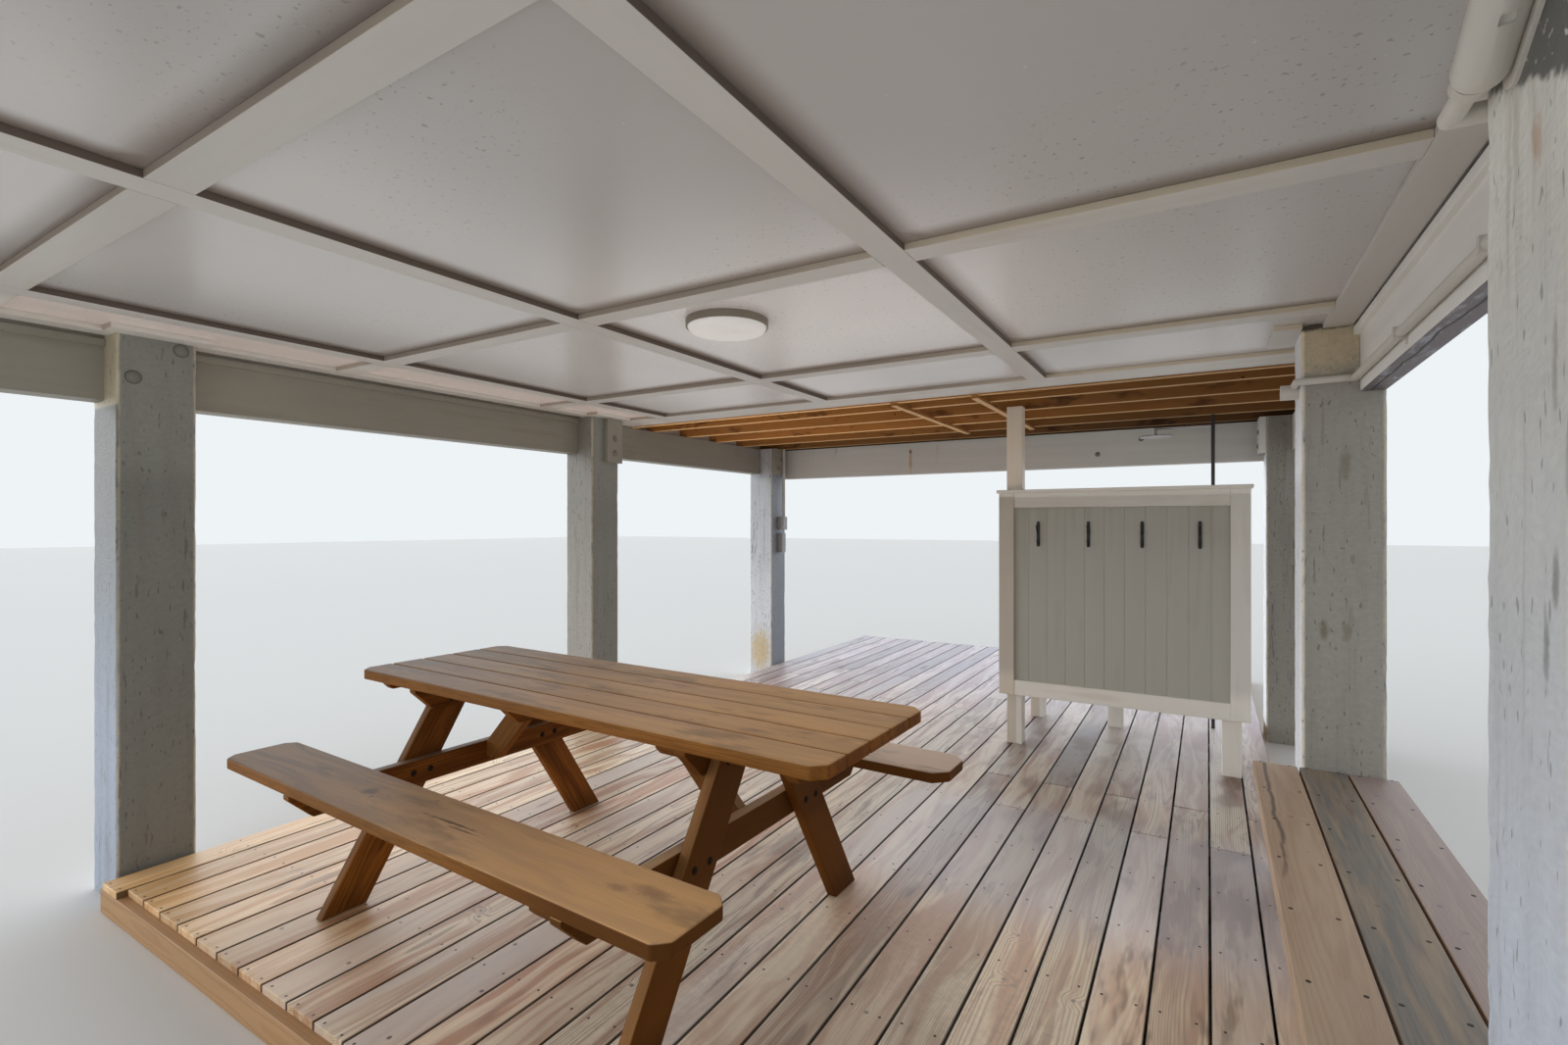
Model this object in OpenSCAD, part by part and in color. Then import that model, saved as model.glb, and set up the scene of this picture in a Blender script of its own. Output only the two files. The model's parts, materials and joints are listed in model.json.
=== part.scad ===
// Open ground storey of a raised timber house: posts, beams, a battened ceiling
// under the floor above, a balcony on bare joists, and a low deck with its bench,
// shower screen and picnic table.
// X runs across, Y runs along the deck boards, Z is up. The origin is at ground
// level, in the middle of the plan.

/* [Posts] */
// Width of a square post
post_w = 247; // [200:1:300]
// Bevel on the four corners of a post
post_bevel = 8; // [3:1:20]
// Clear distance between the two rows of posts
clear_span = 3829; // [3700:1:4100]
// Distance between post rows under the house
house_bay = 2395; // [2200:5:2700]
// Distance between the last two post rows, under the balcony
balcony_bay = 2265; // [2150:5:2600]
// How far the third right-hand post stands forward of its row
third_post_forward = 120; // [0:5:180]
// How far the last right-hand post stands outside its row
last_post_outside = 30; // [0:1:32]

/* [Deck] */
// Height of the deck surface above the ground
deck_h = 114; // [100:1:160]
// Number of boards across the deck
deck_board_count = 26; // [20:1:26]
// Width of a deck board
deck_board_w = 140; // [120:1:140]
// Gap between deck boards
deck_gap = 6.5; // [3:0.5:6.5]
// Thickness of a deck board
deck_board_t = 25; // [20:1:32]
// Distance from the left posts to the first board
deck_margin = 22; // [5:1:25]
// Start of the boards, in front of the second row of posts
deck_front = 15; // [0:1:30]
// How far the front rim stands proud of the boards
rim_proud = 30; // [10:1:34]
// Length of deck past the last posts
deck_past = 1820; // [600:10:2500]
// Number of boards, from the left, that are laid in long lengths
long_boards = 17; // [10:1:26]

/* [Beams and floor] */
// Clear height from deck surface to ceiling battens
clear_h = 2050; // [1950:5:2300]
// Depth of the main beams
beam_d = 235; // [184:1:286]
// Thickness of the left beam
left_beam_t = 114; // [76:1:130]
// Thickness of the right beam
right_beam_t = 76; // [64:1:100]
// Thickness of a plank, plate or joist
plank_t = 38; // [32:1:45]
// Depth of the joists under the house floor
house_joist_d = 235; // [184:1:286]
// Depth of the joists under the balcony
balcony_joist_d = 184; // [140:1:235]
// Distance from the end of the ceiling to the first bare joist
first_joist_gap = 245; // [80:1:400]
// Distance between the two thin strips under the bare joists
strip_gap = 480; // [200:1:600]
// Spacing of all joists and sleepers
joist_pitch = 406; // [300:1:500]
// Thickness of the floor sheets above
subfloor_t = 18; // [12:1:25]
// Depth of the beam that crosses behind the last posts
far_beam_d = 275; // [184:1:286]

/* [Ceiling] */
// Length of ceiling past the third row of posts
ceiling_past = 270; // [240:1:500]
// Thickness of a ceiling sheet
panel_t = 12; // [9:1:18]
// Width of a batten
batten_w = 89; // [64:1:110]
// Thickness of a batten
batten_t = 19; // [12:1:25]
// Distance between the long battens
panel_w = 1219; // [1100:1:1219]
// Distance between the cross battens
panel_l = 1187; // [1000:1:1250]
// Right edge of the first long batten, from the left posts
first_batten = 403; // [300:1:500]
// Middle of the first cross batten, from the near end
first_cross = 846; // [600:1:1000]
// Width of the boards along the two open ends of the ceiling
edge_board_w = 235; // [140:1:240]
// Length of a post's trim on the near side of the post
trim_near = 40; // [20:1:60]
// Length of a post's trim on the far side of the post
trim_far = 25; // [15:1:60]

/* [Light] */
// Diameter of the ceiling light
light_d = 300; // [200:1:400]
// Depth of the ceiling light
light_t = 45; // [30:1:80]
// Distance from the second long batten to the middle of the light
light_right = 406; // [210:1:800]
// Distance from the third cross batten to the middle of the light
light_far = 245; // [210:1:700]

/* [Shower screen] */
// Width of the screen
screen_w = 1280; // [1000:1:1400]
// Height of the screen without its cap
screen_h = 1213; // [900:1:1300]
// Height of the screen's lower edge above the deck
screen_gap = 302; // [150:1:400]
// Front of the screen, beyond the third row of posts
screen_y = 970; // [900:1:1050]
// Left edge of the screen, from the left posts
screen_x = 2440; // [2300:1:2460]
// Drop from the top of the screen to the middle of its hooks
hook_drop = 245; // [180:1:400]
// Depth of the shower place behind the screen
screen_depth = 770; // [600:1:900]
// Length of the short return at the back
return_w = 575; // [400:1:700]
// Width of a trim board
trim_w = 89; // [60:1:110]
// Thickness of trims and boards
trim_t = 19; // [15:1:22]
// Number of vertical boards in the screen
groove_boards = 11; // [6:1:14]
// Width of a square timber leg
leg_w = 89; // [75:1:100]
// Number of coat hooks
hook_count = 4; // [2:1:6]
// Height of a coat hook
hook_h = 150; // [110:1:170]

/* [Bench] */
// Height of the bench above the deck
bench_h = 420; // [380:1:480]
// Number of boards in the bench
bench_board_count = 3; // [2:1:3]
// Distance between bench board edges
bench_pitch = 146.5; // [142:0.5:150]
// Overhang of the bench on the deck side of the posts
bench_inward = 154; // [130:1:160]
// Distance from the bench's edges to its rails
bench_inset = 20; // [0:1:40]
// Distance from the bench's ends to its first cross pieces
bench_end = 60; // [30:1:200]
// Depth of the rails under the bench
bench_rail_d = 140; // [89:1:184]

/* [Picnic table] */
// Length of the table top
table_l = 2095; // [1800:5:2200]
// Width of the table top
table_w = 644; // [600:1:760]
// Height of the table
table_h = 760; // [720:1:780]
// Height of the seats
seat_h = 500; // [430:1:510]
// Width of a seat board
seat_w = 227; // [180:1:285]
// Corner cut of the near seat
near_clip = 32; // [15:1:60]
// Corner cut of the far seat
far_clip = 46; // [15:1:60]
// Distance from the middle of the table to the middle of a seat
seat_out = 608; // [580:1:700]
// How far the near seat is shifted along the frame
seat_shift = 85; // [0:5:100]
// How far the top and the far seat are shifted along the frame
top_shift = 45; // [0:5:60]
// Distance between the two pairs of legs
frame_gap = 1370; // [1200:5:1500]
// Width of a table leg
table_leg_w = 128; // [110:1:140]
// Turn of the table on the deck, in degrees
table_turn = -1.8; // [-4:0.1:4]
// Place of the table's middle, from the left posts
table_x = 1679; // [1600:1:1800]
// Place of the table's middle, from the second row of posts
table_y = 826; // [800:1:900]

/* [Pipes] */
// Outer diameter of the wiring pipe
conduit_d = 27; // [20:1:34]
// Height of the wiring pipe above the beam's underside
conduit_up = 49; // [35:1:90]
// Distance from the second post to the first strap of the wiring pipe
strap_start = 598; // [200:1:700]
// Distance between the straps of the wiring pipe
strap_pitch = 720; // [400:5:800]
// Length of the junction body on the second post
junction_l = 230; // [150:1:260]
// Width of the junction body
junction_w = 54; // [40:1:60]
// Distance from the far face of the second post to the junction body's round end
junction_in = 105; // [60:1:110]
// Slope of the junction body, in degrees
junction_slope = 30; // [0:1:35]
// Height of the upper outlet box's top above the deck
outlet_high = 1400; // [1000:5:1500]
// Outer diameter of the shower pipe
shower_pipe_d = 22; // [15:1:32]
// Diameter of the shower head
shower_head_d = 200; // [120:1:250]
// Drop from the balcony joists to the shower head
shower_head_drop = 128; // [110:1:300]
// Distance from the right edge of the screen to the shower pipe
shower_inset = 162; // [100:1:300]
// Length of the shower head's arm
shower_arm_l = 330; // [200:5:400]

/* [Hidden] */
$fn = 48;

// Plan places, measured from the near left corner
right_in = post_w + clear_span;
right_out = right_in + post_w;
row_y = [0, house_bay, 2 * house_bay, 2 * house_bay + balcony_bay];
right_row_y = [row_y[0], row_y[1], row_y[2] - third_post_forward, row_y[3]];
bench_w = bench_pitch * (bench_board_count - 1) + deck_board_w;
bench_x = right_in - bench_inward;
total_w = max(right_out + last_post_outside, bench_x + bench_w);
deck_y0 = row_y[1] - deck_front;
deck_y1 = row_y[3] + post_w + deck_past;
total_l = deck_y1;
far_beam_y = row_y[3] + post_w;
balcony_end = far_beam_y + 2 * plank_t;

// Heights above the ground
batten_z = deck_h + clear_h;
panel_z = batten_z + batten_t;
house_joist_z = panel_z + panel_t;
beam_top = house_joist_z - plank_t;
beam_z = beam_top - beam_d;
balcony_board_z = beam_top + balcony_joist_d;
house_top = house_joist_z + house_joist_d;

// Ceiling
ceiling_y1 = row_y[2] + post_w + ceiling_past;
right_beam_in = right_out - right_beam_t;
border_right = right_beam_in - batten_t;
strip_h = 30;
seam = 3;
fit = 0.3;
long_x = [for (k = [0 : 2]) post_w + first_batten - batten_w + k * panel_w];
last_cross = ceiling_y1 - edge_board_w - batten_w;
cross_y = [for (y = first_cross; y < last_cross; y = y + panel_l) y - batten_w / 2];
trim_l = post_w + trim_near + trim_far;
light_x = long_x[1] + batten_w + light_right;
light_y = cross_y[2] + batten_w + light_far;

// Deck. Each board has one joint, over the sleeper of its row
sleeper_h = deck_h - deck_board_t;
first_sleeper = deck_y0 - rim_proud + joist_pitch;
long_rows = [11, 9, 10, 8];
short_rows = [5, 6];

// Shower screen
screen_left = post_w + screen_x;
screen_front = row_y[2] + screen_y;
screen_z = deck_h + screen_gap;
screen_post_y = screen_front + 2 * trim_t;
leg_inset = 38;
cap_t = 19;
cap_over = 12;
groove_w = 7;
groove_d = 4;

// Bench
bench_y0 = row_y[1] + post_w;
bench_y1 = right_row_y[2];
bench_under = deck_h + bench_h - plank_t;

// Picnic table
table_boards = 5;
table_board_gap = 5;
table_board_w = (table_w - (table_boards - 1) * table_board_gap) / table_boards;
table_under = table_h - plank_t;
seat_under = seat_h - plank_t;
seat_beam_d = 89;
cleat_d = 89;
foot_out = 535;
leg_top_out = 100;
cleat_l = table_w - 24;
leg_in = frame_gap / 2 - plank_t / 2 - plank_t;
end_cut = 20;
middle_cut = 50;
cross_cut = 74;
brace_w = 126;
brace_foot = 64;
brace_low = seat_under - seat_beam_d + 25;
brace_in = leg_in - brace_foot - (table_under - brace_low);
flat_w = 89;

// Wiring and shower pipes
conduit_z = beam_z + conduit_up;
conduit_gap = conduit_d / 2 + 2;
conduit_x = right_beam_in - conduit_gap;
flange_t = 4;
flange_sink = 2;
junction_x = right_in - flange_t + flange_sink - junction_w / 2;
junction_y = bench_y0 - junction_in;
wire_box = 58;
box_in = 70;
outlet_y = 135;
shower_x = screen_left + screen_w - shower_inset;
first_balcony_joist = ceiling_y1 + first_joist_gap;
shower_y = first_balcony_joist + 3 * joist_pitch + plank_t / 2;

// Moves plan places to the middle of the plan
module placed() {
  translate([-total_w / 2, -total_l / 2, 0]) children();
}

// Moves table places to the deck, turned as it stands
module on_table() {
  translate([post_w + table_x, row_y[1] + table_y, deck_h]) rotate([0, 0, table_turn]) children();
}

// A box given by its lowest corner and its size
module bar(at, size) {
  translate(at) cube(size);
}

// A square outline with bevelled corners
module bevelled(w, b) {
  polygon([[b, 0], [w - b, 0], [w, b], [w, w - b], [w - b, w], [b, w], [0, w - b], [0, b]]);
}

// A post with a seat cut for its beam on the outer side
module post(x, y, top, seat_x, seat_w) {
  color("#b9bab6") difference() {
    translate([x, y, 0]) linear_extrude(top) bevelled(post_w, post_bevel);
    bar([seat_x, y - 1, beam_z], [seat_w, post_w + 2, top]);
  }
}

module left_post(k) {
  top = k < 3 ? panel_z : beam_top;
  post(0, row_y[k], top, -1, left_beam_t + 1);
}

module right_post(k) {
  out = k == 3 ? last_post_outside : 0;
  top = k < 3 ? panel_z : beam_top;
  post(right_in + out, right_row_y[k], top, right_beam_in, post_w + out);
}

module beam_left_house() {
  color("#a3a29b") bar([0, 0, beam_z], [left_beam_t, row_y[2] + post_w / 2, beam_d]);
  color("#a3a29b") for (k = [0 : 1])
    bar([left_beam_t, row_y[k] + post_w, beam_top - strip_h], [batten_t, house_bay - post_w, strip_h]);
}

module beam_left_balcony() {
  y0 = row_y[2] + post_w / 2 + seam;
  color("#8f9192") bar([0, y0, beam_z], [left_beam_t, far_beam_y - y0, beam_d]);
}

module beam_right_house() {
  color("#a9a89f") bar([right_beam_in, 0, beam_z], [right_beam_t, right_row_y[2] + post_w / 2, beam_d]);
  color("#a9a89f") for (k = [0 : 1]) {
    y0 = right_row_y[k] + post_w;
    bar([right_beam_in - batten_t, y0, beam_top - strip_h], [batten_t, right_row_y[k + 1] - y0, strip_h]);
  }
}

module beam_right_balcony() {
  y0 = right_row_y[2] + post_w / 2 + seam;
  color("#8f9192") bar([right_beam_in, y0, beam_z], [right_beam_t, far_beam_y - y0, beam_d]);
}

// The beam that crosses behind the last two posts
module beam_far() {
  color("#b4b5b1") bar([0, far_beam_y, beam_top - far_beam_d], [right_out, 2 * plank_t, far_beam_d]);
}

// Short upright blocks bolted to the inner faces of the posts, by the beam joints
module beam_blocks() {
  block_w = 139;
  block_h = 300;
  last_w = 180;
  last_h = 245;
  color("#a3a4a2") {
    bar([post_w, row_y[2] + post_w - block_w, batten_z - block_h], [plank_t, block_w, block_h]);
    bar([post_w, row_y[3], beam_top - last_h], [plank_t, last_w, last_h]);
    bar([right_in + last_post_outside - plank_t, row_y[3], beam_top - last_h], [plank_t, last_w, last_h]);
  }
}

module sill_plates() {
  color("#a3a29b") {
    bar([0, 0, beam_top], [left_beam_t, ceiling_y1, plank_t]);
    bar([right_beam_in, 0, beam_top], [right_beam_t, ceiling_y1, plank_t]);
  }
}

// Sheets whose seams lie over the battens
module ceiling_panels() {
  xs = concat([left_beam_t], [for (x = long_x) x + batten_w / 2], [right_beam_in]);
  ys = concat([0], [for (y = cross_y) y + batten_w / 2], [ceiling_y1]);
  color("#d9d6d1") for (i = [0 : len(xs) - 2]) for (j = [0 : len(ys) - 2])
    bar([xs[i] + seam / 2, ys[j] + seam / 2, panel_z],
        [xs[i + 1] - xs[i] - seam, ys[j + 1] - ys[j] - seam, panel_t]);
}

module long_battens() {
  color("#dcd8d2") for (x = long_x)
    bar([x, edge_board_w, batten_z], [batten_w, ceiling_y1 - 2 * edge_board_w, batten_t]);
}

// True where a cross batten at y meets the trim beside a post of one of these rows
function meets_trim(y, rows) = len([for (k = [1 : 2])
  if (y < rows[k] - trim_near + trim_l && y + batten_w > rows[k] - trim_near) k]) > 0;

// Cross battens run between the long ones, and stop at the border or at a post's trim
module cross_battens() {
  color("#dcd8d2") for (y = cross_y) {
    left = meets_trim(y, row_y) ? post_w + batten_w : post_w;
    right = (meets_trim(y, right_row_y) ? right_in : border_right) - batten_w;
    xs = concat([left], [for (x = long_x) x + batten_w]);
    ends = concat(long_x, [right]);
    for (i = [0 : len(xs) - 1]) bar([xs[i], y, batten_z], [ends[i] - xs[i], batten_w, batten_t]);
  }
}

// Battens along the two beams, stopped at the posts
module border_battens() {
  y_end = ceiling_y1 - edge_board_w;
  color("#dcd8d2") {
    for (k = [0 : 2]) {
      y0 = row_y[k] + post_w;
      y1 = k < 2 ? row_y[k + 1] : y_end;
      bar([post_w - batten_w, y0, batten_z], [batten_w, y1 - y0, batten_t]);
    }
    for (k = [0 : 2]) {
      y0 = right_row_y[k] + post_w;
      y1 = k < 2 ? right_row_y[k + 1] : y_end;
      bar([border_right - batten_w, y0, batten_z], [batten_w, y1 - y0, batten_t]);
    }
  }
}

module ceiling_edge_boards() {
  color("#d6d2cb") {
    bar([post_w, 0, batten_z], [clear_span, edge_board_w, batten_t]);
    bar([left_beam_t, ceiling_y1 - edge_board_w, batten_z],
        [right_beam_in - left_beam_t, edge_board_w, batten_t]);
  }
}

// Short trim boards round the heads of the middle posts
module post_trims() {
  color("#dcd8d2") for (k = [1 : 2]) {
    bar([post_w, row_y[k] - trim_near, batten_z], [batten_w, trim_l, batten_t]);
    bar([right_in - batten_w, right_row_y[k] - trim_near, batten_z], [batten_w, trim_l, batten_t]);
  }
}

module house_joists() {
  color("#b98f5c") for (y = [joist_pitch : joist_pitch : ceiling_y1 - 3 * plank_t])
    bar([plank_t, y, house_joist_z], [right_out - 2 * plank_t, plank_t, house_joist_d]);
}

module house_side_rims() {
  color("#c8c8c4") for (x = [0, right_out - plank_t])
    bar([x, 0, house_joist_z], [plank_t, ceiling_y1, house_joist_d]);
}

module house_end_rims() {
  color("#c8c8c4") for (y = [0, ceiling_y1 - plank_t])
    bar([plank_t, y, house_joist_z], [right_out - 2 * plank_t, plank_t, house_joist_d]);
}

// Floor sheets over the house joists
module subfloor() {
  sheet_w = right_out / 2;
  rows = ceil(ceiling_y1 / panel_w);
  sheet_l = ceiling_y1 / rows;
  color("#c9a878") for (i = [0 : 1]) for (j = [0 : rows - 1])
    bar([i * sheet_w + i * seam, j * sheet_l + (j > 0 ? seam : 0), house_top],
        [sheet_w - i * seam, sheet_l - (j > 0 ? seam : 0), subfloor_t]);
}

// Bare joists of the balcony, with one against the house and one at the open end
module balcony_joists() {
  last = balcony_end - 2 * plank_t;
  ys = [for (y = first_balcony_joist; y < last - plank_t; y = y + joist_pitch) y];
  color("#b07a3c") for (y = concat([ceiling_y1], ys, [balcony_end - plank_t]))
    bar([plank_t, y, beam_top], [right_out - 2 * plank_t, plank_t, balcony_joist_d]);
}

module balcony_side_rims() {
  color("#c8c8c4") for (x = [0, right_out - plank_t])
    bar([x, ceiling_y1, beam_top], [plank_t, balcony_end - ceiling_y1, balcony_joist_d]);
}

module balcony_boards() {
  pitch = deck_board_w + deck_gap;
  count = floor((right_out + deck_gap) / pitch);
  start = (right_out - count * pitch + deck_gap) / 2;
  color("#9a7a52") for (k = [0 : count - 1])
    bar([start + k * pitch, ceiling_y1, balcony_board_z],
        [deck_board_w, balcony_end - ceiling_y1, deck_board_t]);
}

// Thin strips nailed under the balcony joists
module joist_strips() {
  strip_w = plank_t;
  strip_l = first_balcony_joist + 3 * joist_pitch + plank_t - ceiling_y1;
  color("#c39355") for (x = [screen_left - strip_w - strip_gap, screen_left - strip_w])
    bar([x, ceiling_y1, beam_top - batten_t], [strip_w, strip_l, batten_t]);
}

// The row of sleepers over which a board is joined
function joint_row(k) = k < long_boards ? long_rows[k % 4] : short_rows[k % 2];

module deck_boards() {
  pitch = deck_board_w + deck_gap;
  color("#b89870") for (k = [0 : deck_board_count - 1]) {
    joint = first_sleeper + joint_row(k) * joist_pitch + plank_t / 2;
    joints = joint < deck_y1 - joist_pitch ? [joint] : [];
    starts = concat([k == 0 ? deck_y0 - rim_proud : deck_y0], [for (y = joints) y + seam / 2]);
    ends = concat([for (y = joints) y - seam / 2], [deck_y1]);
    for (i = [0 : len(starts) - 1])
      bar([post_w + deck_margin + k * pitch, starts[i], sleeper_h],
          [deck_board_w, ends[i] - starts[i], deck_board_t]);
  }
}

// Rims across the two ends of the deck
module deck_end_rims() {
  color("#b98d55") for (y = [deck_y0 - rim_proud, deck_y1 - plank_t])
    bar([post_w, y, 0], [clear_span, plank_t, sleeper_h]);
}

// Rims along the deck, against the posts
module deck_side_rims() {
  y0 = deck_y0 - rim_proud + plank_t;
  color("#b98d55") for (x = [post_w, right_in - plank_t])
    bar([x, y0, 0], [plank_t, deck_y1 - plank_t - y0, sleeper_h]);
}

module deck_sleepers() {
  color("#a08058") for (y = [first_sleeper : joist_pitch : deck_y1 - 3 * plank_t])
    bar([post_w + plank_t, y, 0], [clear_span - 2 * plank_t, plank_t, sleeper_h]);
}

module bench_boards() {
  color("#c8b08c") for (k = [0 : bench_board_count - 1])
    bar([bench_x + k * bench_pitch, bench_y0, bench_under],
        [deck_board_w, bench_y1 - bench_y0, plank_t]);
}

// Two long rails and the cross pieces between them
module bench_rails() {
  z = bench_under - bench_rail_d;
  long = bench_y1 - bench_y0;
  inner = bench_w - 2 * bench_inset - 2 * plank_t;
  color("#b99b72") {
    bar([bench_x + bench_inset, bench_y0, z], [plank_t, long, bench_rail_d]);
    bar([bench_x + bench_w - bench_inset - plank_t, bench_y0, z], [plank_t, long, bench_rail_d]);
    for (y = [bench_y0 + bench_end, bench_y0 + (long - plank_t) / 2, bench_y1 - bench_end - plank_t])
      bar([bench_x + bench_inset + plank_t + fit, y, z], [inner - 2 * fit, plank_t, bench_rail_d]);
  }
}

// Inner legs stand on the deck, outer legs on the ground
module bench_legs() {
  inset = bench_inset + plank_t;
  outer_x = bench_x + bench_w - inset - leg_w;
  color("#b99b72") for (y = [bench_y0 + bench_end + plank_t, bench_y1 - bench_end - plank_t - leg_w]) {
    bar([bench_x + inset, y, deck_h], [leg_w, leg_w, bench_under - deck_h]);
    bar([outer_x, y, 0], [leg_w, leg_w, bench_under]);
  }
}

// Upright trims of the screen's front
module screen_stiles() {
  color("#dedacd") for (x = [screen_left, screen_left + screen_w - trim_w])
    bar([x, screen_front, screen_z], [trim_w, trim_t, screen_h]);
}

module screen_rails() {
  color("#dedacd") for (z = [screen_z, screen_z + screen_h - trim_w])
    bar([screen_left + trim_w, screen_front, z], [screen_w - 2 * trim_w, trim_t, trim_w]);
}

// A sheet of upright boards with a groove at each joint, front face at y = 0
module grooved(w, h, count) {
  pitch = w / count;
  joints = [for (k = [1 : count - 1]) k * pitch];
  front = [for (x = joints) each [[x - groove_w / 2, 0], [x, groove_d], [x + groove_w / 2, 0]]];
  linear_extrude(h) polygon(concat([[0, 0]], front, [[w, 0], [w, trim_t], [0, trim_t]]));
}

module screen_boards() {
  inside = screen_w - 2 * trim_w;
  lap = 20;
  short = 10;
  color("#bfc1b4")
    translate([screen_left + trim_w - lap, screen_front + trim_t, screen_z + short])
      grooved(inside + 2 * lap, screen_h - 2 * short, groove_boards);
}

module screen_cap() {
  color("#d8d5c9") difference() {
    bar([screen_left - cap_over, screen_front - cap_over, screen_z + screen_h],
        [screen_w + 2 * cap_over, 2 * trim_t + leg_w + 2 * cap_over, cap_t]);
    bar([screen_left + leg_inset, screen_post_y, screen_z], [leg_w, leg_w, 2 * screen_h]);
  }
}

// Four square legs, of which the front left one runs up to the joists
module screen_posts() {
  top = screen_z + screen_h;
  back_y = screen_post_y + screen_depth - leg_w;
  left = screen_left + leg_inset;
  color("#cfcec6") {
    bar([left, screen_post_y, deck_h], [leg_w, leg_w, beam_top - deck_h]);
    bar([screen_left + screen_w - leg_inset - leg_w, screen_post_y, deck_h], [leg_w, leg_w, top - deck_h]);
    bar([left, back_y, deck_h], [leg_w, leg_w, top - deck_h]);
    bar([left + return_w - leg_w, back_y, deck_h], [leg_w, leg_w, top - deck_h]);
  }
}

// Boarded side and short back between the legs
module screen_returns() {
  back_y = screen_post_y + screen_depth - leg_w;
  left = screen_left + leg_inset;
  side_l = back_y - screen_post_y - leg_w;
  back_l = return_w - 2 * leg_w;
  color("#bfc1b4") {
    translate([left + leg_w / 2 + trim_t / 2, screen_post_y + leg_w, screen_z])
      rotate([0, 0, 90]) grooved(side_l, screen_h, 6);
    translate([left + leg_w, back_y + leg_w / 2 - trim_t / 2, screen_z])
      grooved(back_l, screen_h, 4);
  }
}

// A prong that leaves the plate outwards and turns up to a round tip
module prong(r, rod) {
  rotate([0, 90, 0]) rotate([0, 0, -90]) rotate_extrude(angle = 90) translate([r, 0]) circle(d = rod);
  translate([0, -r, 0]) sphere(d = rod * 1.5);
}

// A double coat hook whose back plate lies at y = 0
module coat_hook() {
  plate_w = 18;
  plate_t = 4;
  rod = 9;
  low = -hook_h / 2 + plate_w / 2;
  high = hook_h / 2 - plate_w / 2;
  rotate([90, 0, 0]) linear_extrude(plate_t) {
    translate([-plate_w / 2, low]) square([plate_w, high - low]);
    translate([0, low]) circle(d = plate_w);
    translate([0, high]) circle(d = plate_w);
  }
  translate([0, 1 - plate_t, high - 20]) prong(42, rod);
  translate([0, 1 - plate_t, low + 26]) prong(24, rod);
}

module coat_hooks() {
  inside = screen_w - 2 * trim_w;
  step = inside / hook_count;
  hook_z = screen_z + screen_h - hook_drop;
  color("#17181a") for (k = [0 : hook_count - 1])
    translate([screen_left + trim_w + step * (k + 0.5), screen_front + trim_t, hook_z]) coat_hook();
}

// Upright shower pipe from the deck to a joist
module shower_pipe() {
  color("#33312f") translate([shower_x, shower_y, deck_h])
    cylinder(d = shower_pipe_d, h = beam_top - deck_h);
}

// Flat shower head under a short arm that leaves the pipe sideways
module shower_head() {
  arm_d = 18;
  arm_z = beam_top - 70;
  disc_z = beam_top - shower_head_drop;
  rose_t = 8;
  neck_h = 14;
  start = shower_pipe_d / 2;
  color("#c9ccce") translate([shower_x, shower_y, 0]) {
    translate([-shower_arm_l, 0, arm_z]) rotate([0, 90, 0]) cylinder(d = arm_d, h = shower_arm_l - start);
    translate([-shower_arm_l, 0, 0]) {
      translate([0, 0, arm_z]) sphere(d = arm_d);
      translate([0, 0, disc_z]) cylinder(d = shower_head_d, h = rose_t);
      translate([0, 0, disc_z + rose_t]) cylinder(d1 = 60, d2 = 22, h = neck_h);
      translate([0, 0, disc_z + rose_t + neck_h]) cylinder(d = arm_d, h = arm_z - disc_z - rose_t - neck_h);
    }
  }
}

// Rim of the light against the ceiling sheet
module light_base() {
  color("#e6e4df") translate([light_x, light_y, panel_z - light_t * 0.6])
    difference() {
      cylinder(d = light_d, h = light_t * 0.6, $fn = 96);
      translate([0, 0, -1]) cylinder(d = light_d - 10, h = light_t * 0.4 + 1, $fn = 96);
    }
}

// Shallow bowl of the light, seated in the rim
module light_diffuser() {
  r = light_d / 2 - 6;
  bowl = light_t * 0.8 - 2;
  color("#f4f3ee") translate([light_x, light_y, panel_z - light_t * 0.2])
    rotate_extrude($fn = 96) polygon(concat(
      [[0, 0], [r, 0]],
      [for (a = [0 : 15 : 90]) [r - 22 + 22 * cos(a), -bowl + 22 - 22 * sin(a)]],
      [[0, -bowl]]));
}

// Straight pipe between two places that share two coordinates
module pipe(from, to, d) {
  v = to - from;
  l = norm(v);
  turn = abs(v[0]) > abs(v[1]) + abs(v[2]) ? [0, 90, 0] : abs(v[1]) > abs(v[2]) ? [-90, 0, 0] : [0, 0, 0];
  start = v[0] + v[1] + v[2] > 0 ? from : to;
  translate(start) rotate(turn) cylinder(d = d, h = l);
}

// Wiring pipe along the right beam and round the heads of the second and third posts.
// Its bends are round balls as thick as the pipe
module beam_conduit() {
  y0 = bench_y0 + conduit_gap;
  y1 = right_row_y[2] - conduit_gap;
  x1 = right_in - conduit_gap;
  bends = [
    [junction_x, y0, conduit_z], [conduit_x, y0, conduit_z],
    [conduit_x, y1, conduit_z], [x1, y1, conduit_z]];
  path = concat([[junction_x, junction_y + junction_w / 2 + fit, conduit_z]], bends,
                [[x1, right_row_y[2] + box_in, conduit_z]]);
  color("#b5b2a9") {
    for (i = [0 : len(path) - 2]) pipe(path[i], path[i + 1], conduit_d);
    for (bend = bends) translate(bend) sphere(d = conduit_d);
  }
}

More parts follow.
